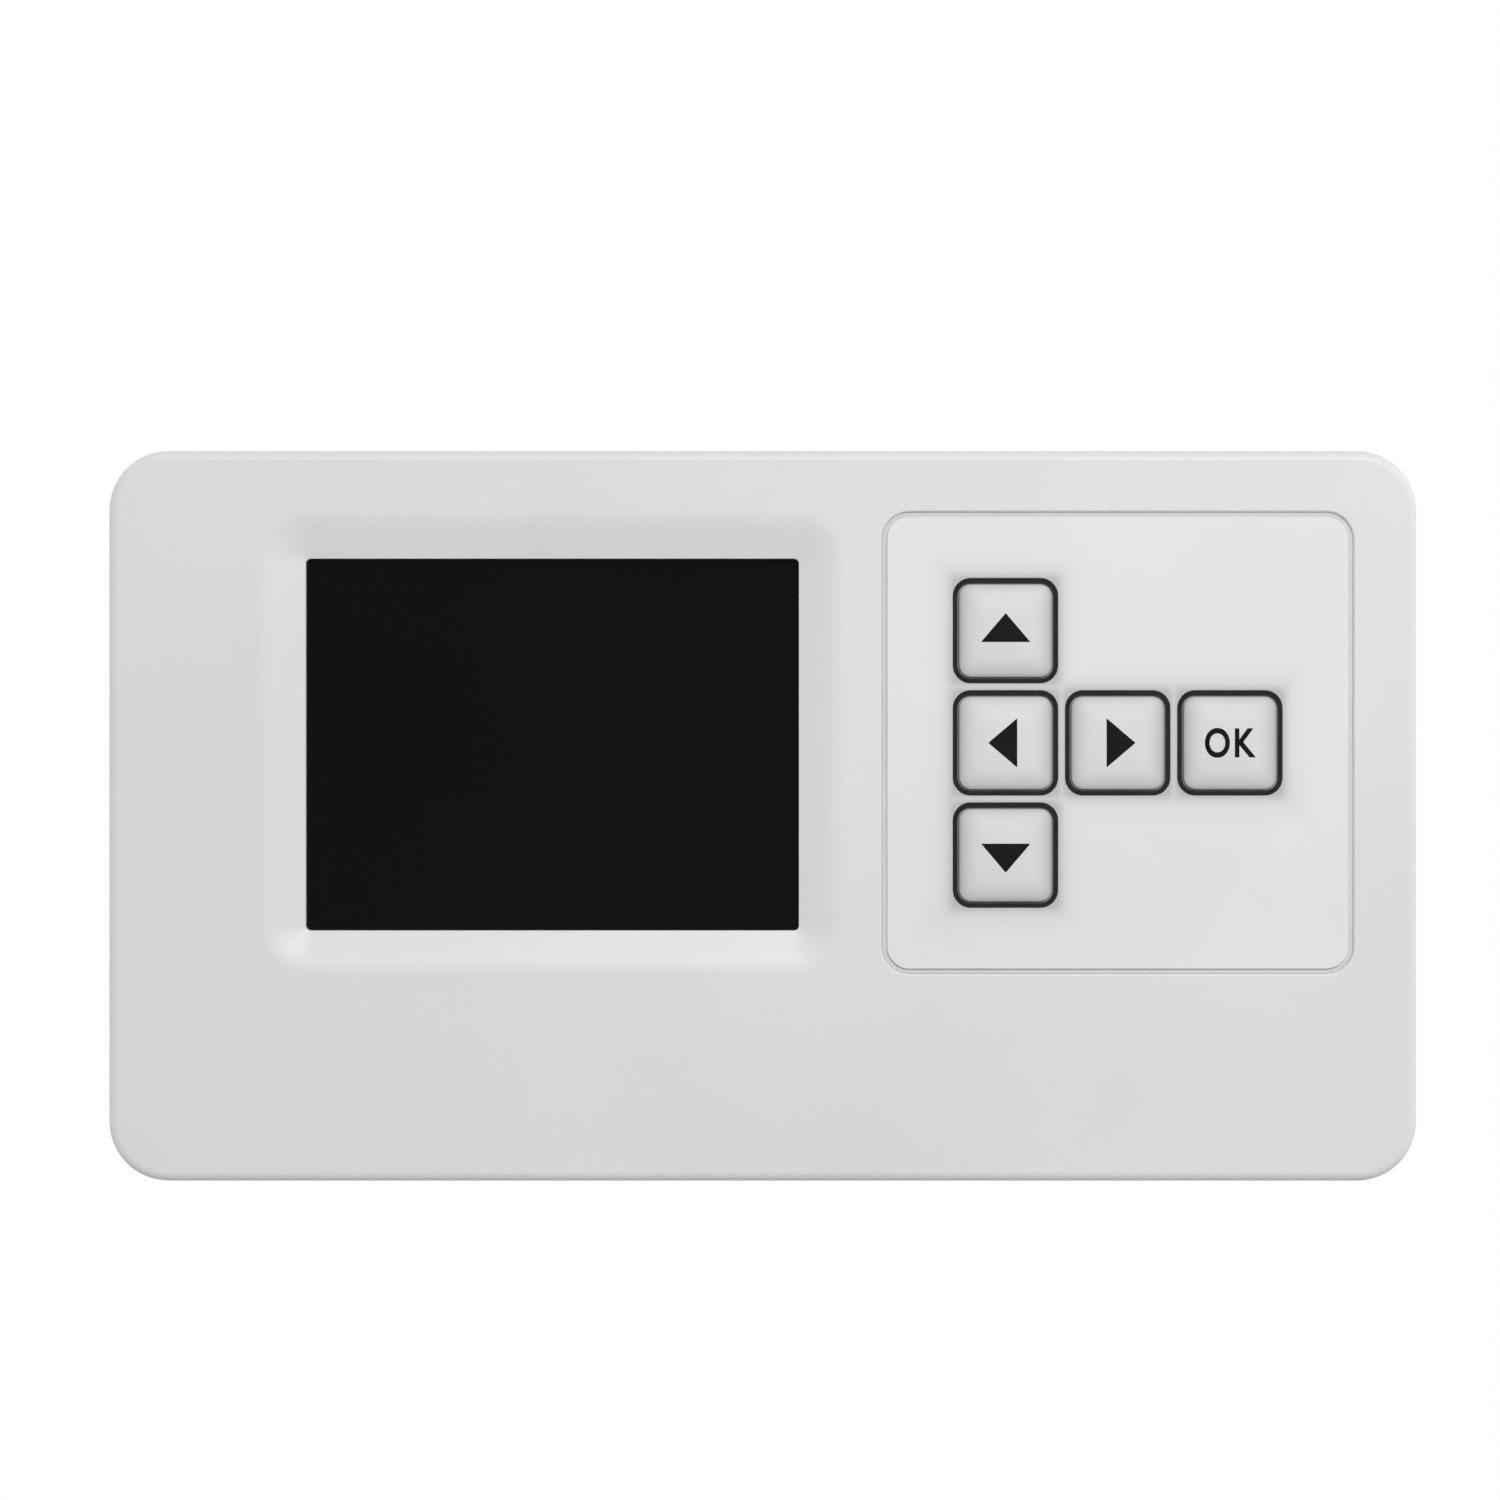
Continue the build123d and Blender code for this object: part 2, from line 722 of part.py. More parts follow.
# Keypad spacer: holds the overlay clear of the pocket floor and gives the key flanges their room
with BuildPart() as keypad_spacer:
    with BuildSketch(at(pocket_floor)):
        with Locations((keypad_x, keypad_z)):
            RectangleRounded(spacer_width, spacer_height, spacer_corner_radius)
        with Locations(*key_places.values()):
            RectangleRounded(spacer_window, spacer_window, spacer_window_radius, mode=Mode.SUBTRACT)
    extrude(amount=spacer_thickness)
save(keypad_spacer, "keypad_spacer")

# Keypad overlay: the printed sheet that frames the keys
with BuildPart() as keypad_overlay:
    with BuildSketch(at(spacer_front)):
        with Locations((keypad_x, keypad_z)):
            RectangleRounded(overlay_width, overlay_height, overlay_corner_radius)
        with Locations(*key_places.values()):
            RectangleRounded(key_window, key_window, key_window_radius, mode=Mode.SUBTRACT)
    extrude(amount=overlay_thickness)
save(keypad_overlay, "keypad_overlay")

# Key pads and the switch plungers that carry them
for key_name, (key_x, key_z) in key_places.items():
    with BuildPart() as key_pad:
        with BuildSketch(at(flange_back)):
            with Locations((key_x, key_z)):
                RectangleRounded(key_size, key_size, key_corner_radius)
        extrude(amount=key_shoulder - flange_back)
        # The crown is a shallow cushion, eased where it meets the sides
        with BuildSketch(at(key_shoulder)):
            with Locations((key_x, key_z)):
                RectangleRounded(key_size, key_size, key_corner_radius)
        with BuildSketch(at(key_top)):
            with Locations((key_x, key_z)):
                RectangleRounded(key_crown_size, key_crown_size, key_crown_corner_radius)
        loft(ruled=True)
        shoulder_edges = key_pad.edges().group_by(Axis.Y)[2]
        chamfer(shoulder_edges, key_edge_chamfer)
        with BuildSketch(at(flange_back)):
            with Locations((key_x, key_z)):
                RectangleRounded(key_flange_size, key_flange_size, flange_corner_radius)
        extrude(amount=key_flange_thickness)
    save(key_pad, f"key_{key_name}")

    with BuildPart() as plunger:
        with BuildSketch(at(plunger_bottom)):
            with Locations((key_x, key_z)):
                Circle(plunger_collar_radius)
        extrude(amount=plunger_collar_height)
        with BuildSketch(at(plunger_bottom)):
            with Locations((key_x, key_z)):
                Circle(plunger_radius)
        extrude(amount=flange_back - plunger_bottom)
    save(plunger, f"plunger_{key_name}")

# Switch bases on the board, each with a well for its plunger
with BuildPart() as switch_bases:
    with BuildSketch(at(board_front)):
        with Locations(*key_places.values()):
            Rectangle(switch_size, switch_size)
    extrude(amount=switch_base_height)
    chamfer(switch_bases.edges().filter_by(Axis.Y), switch_base_chamfer)
    with BuildSketch(at(board_front + switch_base_height - switch_well_depth)):
        with Locations(*key_places.values()):
            Circle(switch_well_radius)
    extrude(amount=switch_well_depth, mode=Mode.SUBTRACT)
save(switch_bases, "switch_bases")

# Steel covers that close the switches round their plungers
with BuildPart() as switch_covers:
    with BuildSketch(at(board_front + switch_base_height)):
        with Locations(*key_places.values()):
            Rectangle(switch_size, switch_size)
    extrude(amount=switch_cover_thickness)
    chamfer(switch_covers.edges().filter_by(Axis.Y), switch_base_chamfer)
    with BuildSketch(at(board_front + switch_base_height)):
        with Locations(*key_places.values()):
            Circle(plunger_radius + screw_clearance)
    extrude(amount=switch_cover_thickness, mode=Mode.SUBTRACT)
save(switch_covers, "switch_covers")

# Terminal block: wells for the screws face the wall, mouths for the wires face down
with BuildPart() as terminal_block:
    with BuildSketch(at(terminal_back)):
        with Locations((0, terminal_z)):
            Rectangle(terminal_width, terminal_height)
    extrude(amount=terminal_depth)
    fillet(terminal_block.faces().sort_by(Axis.Y)[-1].edges(), terminal_edge_radius)
    with BuildSketch(Plane.XY.offset(terminal_mouth_z)):
        for way_x in terminal_ways_x:
            with Locations((way_x, -(clamp_front + clamp_back) / 2)):
                Rectangle(clamp_width + 2 * clamp_gap, clamp_depth + 2 * clamp_gap)
    extrude(amount=clamp_recess + clamp_height + clamp_gap, mode=Mode.SUBTRACT)
    with BuildSketch(at(terminal_back)):
        for way_x in terminal_ways_x:
            with Locations((way_x, terminal_mouth_z + clamp_recess + clamp_height / 2)):
                Circle(terminal_head_radius + hole_clearance)
    extrude(amount=clamp_back - terminal_back, mode=Mode.SUBTRACT)
save(terminal_block, "terminal_block")

# Brass clamps, one to a way, open through their length for the wire
with BuildPart() as terminal_clamps:
    with BuildSketch(Plane.XY.offset(terminal_mouth_z + clamp_recess)):
        for way_x in terminal_ways_x:
            with Locations((way_x, -(clamp_front + clamp_back) / 2)):
                Rectangle(clamp_width, clamp_depth)
                Rectangle(clamp_mouth_width, clamp_mouth_depth, mode=Mode.SUBTRACT)
    extrude(amount=clamp_height)
    with BuildSketch(at(clamp_back)):
        for way_x in terminal_ways_x:
            with Locations((way_x, terminal_mouth_z + clamp_recess + clamp_height / 2)):
                Circle(terminal_screw_radius + screw_clearance)
    extrude(amount=(clamp_depth - clamp_mouth_depth) / 2, mode=Mode.SUBTRACT)
save(terminal_clamps, "terminal_clamps")

# Terminal screws, slotted, sunk in their wells
terminal_head_back = terminal_back + terminal_head_sink
with BuildPart() as terminal_screws:
    with BuildSketch(at(terminal_head_back)):
        for way_x in terminal_ways_x:
            with Locations((way_x, terminal_mouth_z + clamp_recess + clamp_height / 2)):
                Circle(terminal_head_radius)
    extrude(amount=terminal_head_height)
    with BuildSketch(at(terminal_head_back + terminal_head_height)):
        for way_x in terminal_ways_x:
            with Locations((way_x, terminal_mouth_z + clamp_recess + clamp_height / 2)):
                Circle(terminal_screw_radius)
    screw_reach = clamp_back + clamp_depth / 2
    extrude(amount=screw_reach - terminal_head_back - terminal_head_height)
    with BuildSketch(at(terminal_head_back)):
        for way_x in terminal_ways_x:
            with Locations((way_x, terminal_mouth_z + clamp_recess + clamp_height / 2)):
                Rectangle(2 * terminal_head_radius, drive_slot_width)
    extrude(amount=drive_slot_depth, mode=Mode.SUBTRACT)
save(terminal_screws, "terminal_screws")

# Relay: a potted box on a slightly smaller foot
with BuildPart() as relay:
    with BuildSketch(at(rear_floor_front + relay_gap)):
        with Locations(relay_place):
            Rectangle(relay_length, relay_width)
    extrude(amount=board_back - relay_foot - rear_floor_front - relay_gap)
    chamfer(relay.edges().filter_by(Axis.Y), relay_edge_chamfer)
    chamfer(relay.faces().sort_by(Axis.Y)[-1].edges(), relay_edge_chamfer)
    with BuildSketch(at(board_back - relay_foot)):
        with Locations(relay_place):
            Rectangle(relay_length - 2 * relay_edge_chamfer, relay_width - 2 * relay_edge_chamfer)
    extrude(amount=relay_foot)
save(relay, "relay")

# Buzzer: a drum with a sound port
with BuildPart() as buzzer:
    with BuildSketch(at(board_back - buzzer_height)):
        with Locations(buzzer_place):
            Circle(buzzer_radius)
    extrude(amount=buzzer_height)
    chamfer(buzzer.faces().sort_by(Axis.Y)[-1].edges(), buzzer_edge_chamfer)
    with BuildSketch(at(board_back - buzzer_height)):
        with Locations(buzzer_place):
            Circle(buzzer_port_radius)
    extrude(amount=buzzer_port_depth, mode=Mode.SUBTRACT)
save(buzzer, "buzzer")

# Controller chip: a flat package with leads on all four sides
with BuildPart() as controller_chip:
    with BuildSketch(at(board_back - chip_height)):
        with Locations(chip_place):
            Rectangle(chip_size, chip_size)
    extrude(amount=chip_height)
    chamfer(controller_chip.faces().sort_by(Axis.Y)[-1].edges(), chip_edge_chamfer)
    with BuildSketch(at(board_back - chip_lead_thickness)):
        with Locations(chip_place):
            with GridLocations(chip_lead_pitch, 0, chip_leads_per_side, 1):
                Rectangle(chip_lead_width, chip_size + 2 * chip_lead_reach)
            with GridLocations(0, chip_lead_pitch, 1, chip_leads_per_side):
                Rectangle(chip_size + 2 * chip_lead_reach, chip_lead_width)
    extrude(amount=chip_lead_thickness)
save(controller_chip, "controller_chip")

# Holder for the clock's coin cell: a floor and a rim with a notch for lifting the cell out
holder_radius = cell_radius + holder_gap + holder_wall
with BuildPart() as cell_holder:
    with BuildSketch(at(board_back - holder_floor - holder_rim)):
        with Locations(cell_place):
            Circle(holder_radius)
    extrude(amount=holder_floor + holder_rim)
    with BuildSketch(at(board_back - holder_floor - holder_rim)):
        with Locations(cell_place):
            Circle(cell_radius + holder_gap)
        with Locations((cell_place[0] - holder_radius, cell_place[1])):
            Rectangle(holder_radius, holder_notch)
    extrude(amount=holder_rim, mode=Mode.SUBTRACT)
save(cell_holder, "cell_holder")

# Coin cell that keeps the clock running
with BuildPart() as clock_cell:
    with BuildSketch(at(board_back - holder_floor - cell_height)):
        with Locations(cell_place):
            Circle(cell_radius)
    extrude(amount=cell_height)
    chamfer(clock_cell.edges().filter_by(GeomType.CIRCLE), cell_edge_chamfer)
save(clock_cell, "clock_cell")

# Supply capacitor: a can with a crimped groove, turned about its own axis
capacitor_height = board_back - rear_floor_front - capacitor_gap
with BuildPart() as supply_capacitor:
    with BuildSketch(Plane(origin=(capacitor_place[0], -board_back, capacitor_place[1]))):
        with BuildLine():
            Polyline(
                (0, 0),
                (capacitor_radius, 0),
                (capacitor_radius, capacitor_groove_height - capacitor_groove),
                (capacitor_radius - capacitor_groove, capacitor_groove_height),
                (capacitor_radius, capacitor_groove_height + capacitor_groove),
                (capacitor_radius, capacitor_height - capacitor_edge_chamfer),
                (capacitor_radius - capacitor_edge_chamfer, capacitor_height),
                (0, capacitor_height),
                close=True,
            )
        make_face()
    revolve(axis=Axis((capacitor_place[0], 0, capacitor_place[1]), (0, 1, 0)))
save(supply_capacitor, "supply_capacitor")

# Supply choke: a cut-cornered block with a round winding window
with BuildPart() as supply_choke:
    with BuildSketch(at(board_back - choke_height)):
        with Locations(choke_place):
            choke_outline = Rectangle(choke_size, choke_size)
        chamfer(choke_outline.vertices(), choke_corner_chamfer)
    extrude(amount=choke_height)
    with BuildSketch(at(board_back - choke_height)):
        with Locations(choke_place):
            Circle(choke_winding_radius)
    extrude(amount=choke_winding_recess, mode=Mode.SUBTRACT)
save(supply_choke, "supply_choke")

# Room sensor: a bead on two leads that bend down off the board's lower edge towards the vents
sensor_z = -board_height / 2 + sensor_edge_inset
sensor_depth = board_back - sensor_stand
with BuildPart() as room_sensor:
    with BuildSketch(Plane(origin=(sensor_x, -sensor_depth, sensor_z - sensor_drop), z_dir=(0, 0, -1))):
        Circle(sensor_bead_radius)
    extrude(amount=sensor_bead_length)
    chamfer(room_sensor.edges().filter_by(GeomType.CIRCLE), sensor_bead_chamfer)
    for side in (-1, 1):
        lead_x = sensor_x + side * sensor_lead_pitch / 2
        with BuildLine() as lead:
            FilletPolyline(
                (lead_x, -board_back, sensor_z),
                (lead_x, -sensor_depth, sensor_z),
                (lead_x, -sensor_depth, sensor_z - sensor_drop),
                radius=sensor_bend_radius,
            )
        with BuildSketch(Plane(origin=(lead_x, -board_back, sensor_z), z_dir=(0, 1, 0))):
            Rectangle(sensor_lead_width, sensor_lead_width)
        sweep(path=lead.wires()[0])
save(room_sensor, "room_sensor")
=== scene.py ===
"""Looks of the wall thermostat: finishes for the CAD pieces, smooth shells, and the keypad with its print.

Sizes are written in millimetres and turned to metres where Blender needs them. The wall is the XZ plane,
the room is on its -Y side, X runs to the right and Z runs up.
"""

import math

import bpy
from mathutils import Matrix, Vector


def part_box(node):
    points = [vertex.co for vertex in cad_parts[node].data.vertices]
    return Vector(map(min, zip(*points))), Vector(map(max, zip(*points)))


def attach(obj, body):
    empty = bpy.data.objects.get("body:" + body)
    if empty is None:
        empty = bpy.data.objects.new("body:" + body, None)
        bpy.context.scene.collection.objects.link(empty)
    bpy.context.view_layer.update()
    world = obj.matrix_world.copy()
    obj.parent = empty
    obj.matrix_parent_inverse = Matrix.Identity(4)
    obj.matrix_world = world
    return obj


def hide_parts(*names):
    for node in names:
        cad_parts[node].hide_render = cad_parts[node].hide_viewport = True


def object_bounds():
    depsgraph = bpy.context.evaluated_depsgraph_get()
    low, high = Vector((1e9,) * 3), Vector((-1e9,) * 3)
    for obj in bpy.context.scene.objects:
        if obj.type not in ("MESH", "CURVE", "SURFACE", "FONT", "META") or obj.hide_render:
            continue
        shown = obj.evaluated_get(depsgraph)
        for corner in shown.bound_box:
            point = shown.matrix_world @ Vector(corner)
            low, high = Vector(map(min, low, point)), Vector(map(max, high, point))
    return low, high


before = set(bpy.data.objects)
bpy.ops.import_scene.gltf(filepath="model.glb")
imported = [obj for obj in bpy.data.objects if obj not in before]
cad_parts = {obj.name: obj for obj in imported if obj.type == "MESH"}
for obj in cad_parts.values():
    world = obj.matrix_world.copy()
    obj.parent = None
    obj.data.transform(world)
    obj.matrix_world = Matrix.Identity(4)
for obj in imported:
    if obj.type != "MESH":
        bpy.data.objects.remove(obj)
cad_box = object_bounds()

MM = 0.001
KEY_NAMES = ("up", "left", "right", "set", "down")

# Meshes: what counts as square to an axis, as flat and as a crisp edge, and how near points are merged
SQUARE_ON = 0.99
FLAT_ANGLE = 0.1
CRISP_ANGLE = 30.0
SHELL_MERGE = 0.001

# Keypad film
FILM_CORNER_RADIUS = 2.6
FILM_CORNER_SEGMENTS = 10
FILM_CRISP_ANGLE = 4.0
FILM_MERGE = 0.002
VALLEY_DEPTH = 0.06
VALLEY_WIDTH = 1.3
VALLEY_TOOL_HEIGHT = 1.0
OUTLINE_SIZE = 12.4
OUTLINE_RADIUS = 2.1
INK_THICKNESS = 0.015
KEY_WINDOW = 11.32
KEY_WINDOW_RADIUS = 1.65
KEY_CORNER_SEGMENTS = 8
WINDOW_TOOL_DEPTH = 4.0

# Key caps
FLANGE_RADIUS = 2.1
FLANGE_WIDTH = 0.55
FLANGE_THICKNESS = 0.2
CAP_WALL_TOP = 0.1
CAP_POWER = 3.2
CAP_RINGS = 14
CAP_RING_SPREAD = 1.35
CAP_LAST_RING = 0.08
CAP_EDGE = 0.08
CAP_EDGE_SEGMENTS = 3
CAP_EDGE_ANGLE = 50.0
CAP_CRISP_ANGLE = 35.0

# Printed symbols
ARROW_BASE = 5.8
ARROW_HEIGHT = 3.4
ARROW_SHIFT = 0.35
ARROW_CORNER = 0.12
ARROW_CORNER_SEGMENTS = 3
ARROW_STAMP_DEPTH = 0.5
LETTER_HEIGHT = 3.5
LETTER_SPACING = 1.16
LETTER_WEIGHT = 0.022
LETTER_CONDENSE = 0.8
LETTER_STAMP_DEPTH = 0.3
TYPE_MERGE = 0.0005

# Housing screws
SCREW_SIDES = 48
SCREW_HEAD_RADIUS = 2.0
SCREW_HEAD_HEIGHT = 1.6
SCREW_SHANK_RADIUS = 1.1
SCREW_DOME = 0.7
SCREW_DOME_SEGMENTS = 6
SCREW_TIP = 0.8
SCREW_TIP_SHARE = 0.6
RECESS_LENGTH = 2.3
RECESS_WIDTH = 0.6
RECESS_DEPTH = 1.0
RECESS_FOOT_SHARE = 0.55

# Terminal housing
TERMINAL_WAYS = 6
WAY_GROOVE = 0.4
NUMBER_SIZE = 2.2
NUMBER_DROP = 2.2

# Drifting finishes: how broken the drift and the grain are, and which part of the drift the tones span
DRIFT_DETAIL = 3.0
DRIFT_SPAN = (0.3, 0.7)
GRAIN_DETAIL = 2.0
SQUARE_SOFTNESS = 1.6

# Zinc crystals and the frost on them
CRYSTAL_SIZE = 7.0
CRYSTAL_GLOSS = (0.3, 0.52)
RAGGED_SIZE = 2.5
RAGGED_DETAIL = 1.5
RAGGED_REACH = 2.2
FROST_SIZE = 0.4
FROST_DEPTH = 0.004

# Copper runs and vias under the board's solder mask
MASK_ROUGHNESS = 0.3
RUN_WIDTH = 0.34
RUN_LENGTH = 17.0
RUN_PITCH = 1.27
RUN_HEIGHT = 0.1
RUN_SOFTNESS = 0.2
RUN_STAGGER = 0.37
RUN_SHORT_SHARE = 0.6
RUN_SHORT_EVERY = 3
FIELD_SIZE = 13.0
FIELDS_TURNED = 0.5
VIA_PITCH = 5.5
VIA_EDGE = (0.1, 0.13)

# Places of the colour sockets on a mix node, whose names also stand for its number sockets
MIX_A, MIX_B, MIX_COLOUR = 6, 7, 2

# Camera: level with the middle of the picture, straight in front
CAMERA_X = -1.5
CAMERA_Z = 7.76
VIEW_WIDTH = 176.4
LENS_LENGTH = 100.0
SENSOR_WIDTH = 36.0

# Stage
FLOOR_DROP = 180.0
FLOOR_SIZE = 1200.0
FLOOR_ROUGHNESS = 0.9
FLOOR_FADE = (150.0, 560.0)
FLOOR_GLOW = (0.5, 1.0)
FILL_LEVELS = (0.2, 0.4)
DIM_LEVEL = 0.12
DIM_SIDE = (-0.75, -0.1)


key_boxes = {name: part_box(f"key_{name}") for name in KEY_NAMES}
key_middles = {name: (low + high) / 2 for name, (low, high) in key_boxes.items()}


def srgb(code):
    """A linear colour with full opacity, from an sRGB hex code."""
    channels = [int(code[place:place + 2], 16) / 255 for place in (1, 3, 5)]
    return [c / 12.92 if c <= 0.04045 else ((c + 0.055) / 1.055) ** 2.4 for c in channels] + [1.0]


def add_node(tree, kind, links=(), **settings):
    """Adds a node with its settings; links pair an input with a value or with another node's output."""
    node = tree.nodes.new(kind)
    for name, value in settings.items():
        setattr(node, name, value)
    for socket, source in links:
        if isinstance(source, bpy.types.NodeSocket):
            tree.links.new(source, node.inputs[socket])
        else:
            node.inputs[socket].default_value = source
    return node


def new_finish(name, values):
    """A new material with its node tree and shader; the values are the same all over the surface."""
    material = bpy.data.materials.new(name)
    material.use_nodes = True
    shader = material.node_tree.nodes["Principled BSDF"]
    for socket, value in values:
        shader.inputs[socket].default_value = value
    return material, material.node_tree, shader


def key_distance(tree, place):
    """How far a point is from the nearest key's middle, counted square, in metres."""
    nearest = None
    for middle in key_middles.values():
        offset = add_node(tree, "ShaderNodeVectorMath", [(0, place), (1, middle)], operation="SUBTRACT")
        reach = add_node(
            tree, "ShaderNodeVectorMath", [(0, offset.outputs["Vector"])], operation="ABSOLUTE"
        )
        sides = add_node(tree, "ShaderNodeSeparateXYZ", [("Vector", reach.outputs["Vector"])])
        square = add_node(
            tree, "ShaderNodeMath",
            [(0, sides.outputs["X"]), (1, sides.outputs["Z"]), (2, SQUARE_SOFTNESS * MM)],
            operation="SMOOTH_MAX",
        ).outputs["Value"]
        if nearest is None:
            nearest = square
        else:
            nearest = add_node(
                tree, "ShaderNodeMath", [(0, nearest), (1, square)], operation="MINIMUM"
            ).outputs["Value"]
    return nearest


def paint_key_shade(tree, place, colour, shade_tones):
    """Paints shade round the keys: multiplies a colour by tones that each stand at a distance from a key's
    middle, in millimetres.
    """
    first, last = shade_tones[0][0] * MM, shade_tones[-1][0] * MM
    reach = add_node(
        tree, "ShaderNodeMapRange",
        [("Value", key_distance(tree, place)), ("From Min", first), ("From Max", last)],
    )
    ramp = add_node(tree, "ShaderNodeValToRGB", [("Fac", reach.outputs["Result"])])
    stops = ramp.color_ramp.elements
    while len(stops) < len(shade_tones):
        stops.new(0.5)
    for stop, (distance, tone) in zip(stops, shade_tones):
        stop.position = (distance * MM - first) / (last - first)
        stop.color = srgb(tone)
    shaded_colour = add_node(
        tree, "ShaderNodeMix", [("Factor", 1.0), (MIX_A, colour), (MIX_B, ramp.outputs["Color"])],
        data_type="RGBA", blend_type="MULTIPLY",
    )
    return shaded_colour.outputs[MIX_COLOUR]


def drifting_finish(name, tones, drift, grain, depth, roughness, values=(), shade_tones=()):
    """A finish whose colour drifts between two tones and whose grain breaks up its gloss and its surface.

    Drift, grain and the grain's depth are in millimetres. Most real grains here are 0.05 to 0.1 mm, too fine
    to show in the render, and are drawn at 0.2 mm or more.
    """
    material, tree, shader = new_finish(name, values)
    place = add_node(tree, "ShaderNodeTexCoord").outputs["Object"]
    clouds = add_node(
        tree, "ShaderNodeTexNoise",
        [("Vector", place), ("Scale", 1 / (drift * MM)), ("Detail", DRIFT_DETAIL)],
    )
    blend = add_node(tree, "ShaderNodeValToRGB", [("Fac", clouds.outputs["Fac"])])
    for stop, position, tone in zip(blend.color_ramp.elements, DRIFT_SPAN, tones):
        stop.position = position
        stop.color = srgb(tone)
    colour = blend.outputs["Color"]
    # Painted shade round the keys, where tones for it are given
    if shade_tones:
        colour = paint_key_shade(tree, place, colour, shade_tones)
    tree.links.new(colour, shader.inputs["Base Color"])
    specks = add_node(
        tree, "ShaderNodeTexNoise",
        [("Vector", place), ("Scale", 1 / (grain * MM)), ("Detail", GRAIN_DETAIL)],
    )
    gloss = add_node(
        tree, "ShaderNodeMapRange",
        [("Value", specks.outputs["Fac"]), ("To Min", roughness[0]), ("To Max", roughness[1])],
    )
    tree.links.new(gloss.outputs["Result"], shader.inputs["Roughness"])
    bump = add_node(tree, "ShaderNodeBump", [("Height", specks.outputs["Fac"]), ("Distance", depth * MM)])
    tree.links.new(bump.outputs["Normal"], shader.inputs["Normal"])
    return material


# Screen-printed polycarbonate film: a cleaner white than the shell and satin from its hard coat, with
# painted shade that darkens it round each key's outline and in the webs between the keys
film_painted_key_shade = drifting_finish(
    "polycarbonate_film_painted_key_shade", ("#E1E1E0", "#E5E5E4"),
    drift=25.0, grain=0.25, depth=0.002, roughness=(0.34, 0.42),
    shade_tones=(
        (6.2, "#D3D3D3"), (6.5, "#E3E3E3"), (7.1, "#F4F4F4"), (8.0, "#FBFBFB"), (9.8, "#FFFFFF"),
    ),
)
# Embossed key tops under the same print: softer gloss, with painted shade that darkens them towards the
# outline
key_top_painted_shade = drifting_finish(
    "key_top_painted_edge_shade", ("#D5D5D4", "#D9D9D8"),
    drift=25.0, grain=0.25, depth=0.002, roughness=(0.42, 0.5),
    shade_tones=(
        (3.2, "#FFFFFF"), (4.3, "#F4F4F4"), (5.0, "#E2E2E2"), (5.3, "#CECECE"), (5.5, "#9A9A9A"),
    ),
)
# Injection-moulded ABS from a spark-eroded mould: a soft matt white that hardly changes tone
moulded_abs = drifting_finish(
    "moulded_white_abs", ("#DADAD9", "#DFDFDE"), drift=45.0, grain=0.45, depth=0.006, roughness=(0.42, 0.52)
)
# Adhesive spacer sheet, a real layer, given a dull grey that paints the shade of the groove round the film
spacer_painted_groove_shade = drifting_finish(
    "adhesive_spacer_painted_groove_shade", ("#CDCDCC", "#D2D2D1"), drift=10.0, grain=0.5, depth=0.004, roughness=(0.7, 0.8)
)
# Screen ink: dense black laid down thin, with the faint mottle of the mesh and next to no gloss
screen_ink = drifting_finish(
    "black_screen_ink", ("#09090A", "#111112"), drift=1.2, grain=0.2, depth=0.002, roughness=(0.55, 0.7),
    values=[("Specular IOR Level", 0.12)],
)
# The same ink in a thin line: less of it is laid down, so it dries to a very dark grey
thin_ink = drifting_finish(
    "thin_black_ink_line", ("#1C1C1E", "#262628"), drift=1.2, grain=0.2, depth=0.002, roughness=(0.55, 0.7),
    values=[("Specular IOR Level", 0.12)],
)
# White pad print on the terminal housing: small matt figures that cover a little unevenly
white_ink = drifting_finish(
    "white_pad_ink", ("#E8E8E4", "#F0F0EC"), drift=1.0, grain=0.2, depth=0.002, roughness=(0.5, 0.65)
)
# Cast smoked acrylic: nearly black all through and polished, so that it only shows what it mirrors
smoked_acrylic = drifting_finish(
    "smoked_acrylic", ("#060607", "#09090A"), drift=60.0, grain=25.0, depth=0.0004, roughness=(0.06, 0.1)
)
# Zinc-plated steel, tumbled and passivated: small bright highlights with a slight blue tinge
plated_screw = drifting_finish(
    "zinc_plated_steel", ("#B4B8BD", "#C9CDD3"), drift=1.5, grain=0.3, depth=0.002, roughness=(0.25, 0.38),
    values=[("Metallic", 1.0)],
)
# Nickelled steel sheet, rolled and stamped: a clean, slightly warm shine
nickel_sheet = drifting_finish(
    "nickelled_sheet", ("#BEBDB8", "#CFCEC9"), drift=4.0, grain=0.4, depth=0.002, roughness=(0.2, 0.32),
    values=[("Metallic", 1.0)],
)
# Drawn aluminium can: a pale, soft shine
aluminium_can = drifting_finish(
    "aluminium_can", ("#BFC1C3", "#D0D2D4"), drift=3.0, grain=0.4, depth=0.002, roughness=(0.28, 0.4),
    values=[("Metallic", 1.0)],
)
# Stamped brass, dulled by handling: a muted yellow shine
dull_brass = drifting_finish(
    "dull_brass", ("#B08D4A", "#C4A25C"), drift=2.0, grain=0.3, depth=0.002, roughness=(0.25, 0.4),
    values=[("Metallic", 1.0)],
)
# Moulded polyamide with glass fibre: a mid green, slightly dulled by the fibres at its surface
green_polyamide = drifting_finish(
    "green_polyamide", ("#2E7A45", "#37894F"), drift=8.0, grain=0.4, depth=0.006, roughness=(0.42, 0.55)
)
# Moulded polyester of the relay case: an even deep blue with half a gloss
blue_polyester = drifting_finish(
    "blue_relay_case", ("#1E3F78", "#254A88"), drift=8.0, grain=0.4, depth=0.005, roughness=(0.35, 0.48)
)
# Black moulding compound of chips, switches and sockets: a dense dark grey, matt from the mould
black_compound = drifting_finish(
    "black_moulding_compound", ("#1A1A1B", "#242425"),
    drift=4.0, grain=0.3, depth=0.006, roughness=(0.5, 0.65),
)
